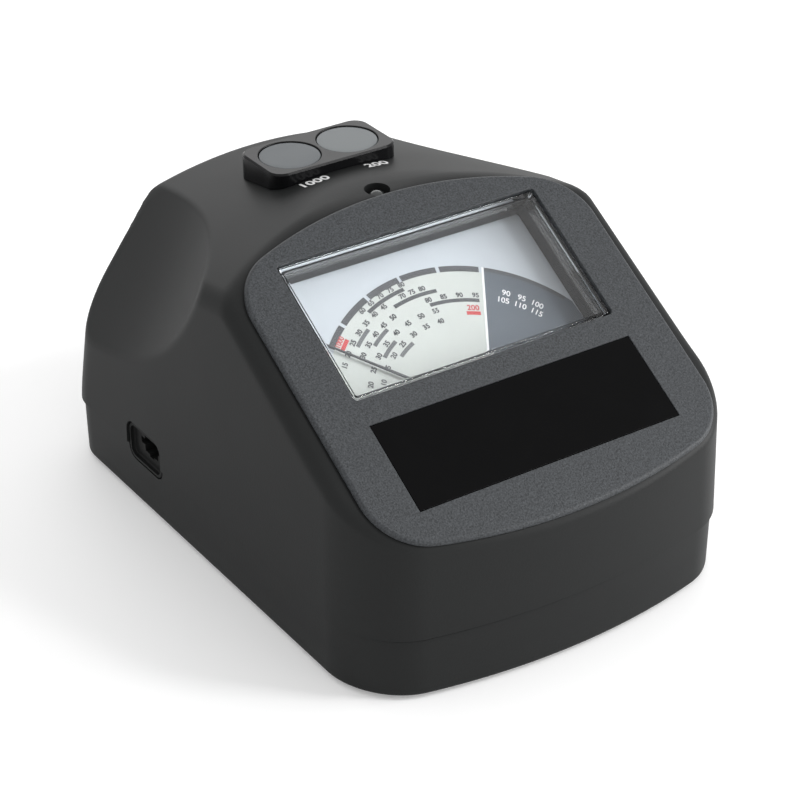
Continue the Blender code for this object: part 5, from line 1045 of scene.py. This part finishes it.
# Finishes of the inner pieces that keep their solids
LOOKS = {
    "meter_case": well_black_painted_shade, "lamp_holder": inner_black, "switch_body": inner_black,
    "controller_chip": inner_black, "core_magnet": magnet_grey, "yoke_ring": iron_soft,
    "moving_coil": copper_wire, "hairspring_upper": copper_wire, "hairspring_lower": copper_wire,
    "upper_bridge": brass_turned, "lower_bridge": brass_turned, "jewel_screw_upper": brass_turned,
    "jewel_screw_lower": brass_turned, "core_support_low": brass_turned,
    "core_support_high": brass_turned, "circuit_board": board_green, "battery_1": cell_jacket,
    "battery_2": cell_jacket, "battery_3": cell_jacket,
}
for name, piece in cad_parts.items():
    sprung = "spring" in name or "contact" in name
    for holder in piece.material_slots:
        holder.material = LOOKS.get(name, steel_spring if sprung else steel_zinc)

# Floor, light and camera
FLOOR_GLOW = 0.21
SKY_LEVEL = 0.82
MIDDLE = (0, 0, 0.05)
pale = bpy.data.materials.new("pale_floor")
pale.use_nodes = True
tree = pale.node_tree
shader = tree.nodes["Principled BSDF"]
shader.inputs["Roughness"].default_value = 0.9
shader.inputs["Emission Color"].default_value = (1, 1, 1, 1)
seen = node(tree, "ShaderNodeLightPath").outputs["Is Camera Ray"]
tree.links.new(maths(tree, "MULTIPLY", seen, FLOOR_GLOW), shader.inputs["Emission Strength"])
grain = node(tree, "ShaderNodeTexNoise", {"Scale": 30.0})
tone = node(tree, "ShaderNodeMapRange", {"Value": grain.outputs[0], "To Min": 0.87, "To Max": 0.90})
shade = node(tree, "ShaderNodeCombineColor", {i: tone.outputs[0] for i in range(3)})
tree.links.new(shade.outputs[0], shader.inputs["Base Color"])
bpy.ops.mesh.primitive_plane_add(size=6, location=(0, 0, 0))
floor = bpy.context.active_object
floor.name = "floor"
floor.data.materials.append(pale)

world = bpy.data.worlds.new("studio")
world.use_nodes = True
bpy.context.scene.world = world
tree = world.node_tree
ray = node(tree, "ShaderNodeLightPath")
seen = maths(tree, "ADD", ray.outputs["Is Camera Ray"], ray.outputs["Is Transmission Ray"])
white = maths(tree, "MINIMUM", seen, 1.0)
level = node(tree, "ShaderNodeMapRange", {"Value": white, "To Min": SKY_LEVEL, "To Max": 1.0})
tint = node(tree, "ShaderNodeCombineColor", {i: level.outputs[0] for i in range(3)})
tree.links.new(tint.outputs[0], tree.nodes["Background"].inputs["Color"])


def soft_lamp(name, place, size, power):
    light = bpy.data.lights.new(name, "AREA")
    light.shape = "RECTANGLE"
    light.size, light.size_y = size
    light.energy = power
    lamp = bpy.data.objects.new(name, light)
    lamp.location = place
    lamp.rotation_euler = (Vector(place) - Vector(MIDDLE)).to_track_quat("Z", "Y").to_euler()
    bpy.context.scene.collection.objects.link(lamp)


soft_lamp("front", (0.58, -0.62, 0.90), (0.18, 0.18), 3.1)
soft_lamp("right", (0.88, -0.62, 0.26), (0.6, 0.4), 8.5)
soft_lamp("back", (0.35, 0.95, 0.52), (1.4, 0.6), 2.9)

CAMERA_PLACE = (-0.29156, -0.43716, 0.34058)
azimuth, elevation, roll = (math.radians(a) for a in (-33.93, 30.55, -0.18))
level = math.cos(elevation)
right = Vector((math.cos(azimuth), math.sin(azimuth), 0))
back = Vector((math.sin(azimuth) * level, -math.cos(azimuth) * level, math.sin(elevation)))
up = back.cross(right)
rolled_right = right * math.cos(roll) + up * math.sin(roll)
rolled_up = back.cross(rolled_right)
camera_data = bpy.data.cameras.new("camera")
camera_data.lens = 109.78
camera_data.sensor_width = 36
camera = bpy.data.objects.new("camera", camera_data)
place = Matrix((rolled_right, rolled_up, back)).transposed().to_4x4()
place.translation = CAMERA_PLACE
camera.matrix_world = place
bpy.context.scene.collection.objects.link(camera)
bpy.context.scene.camera = camera
bpy.context.scene.view_settings.view_transform = "Standard"
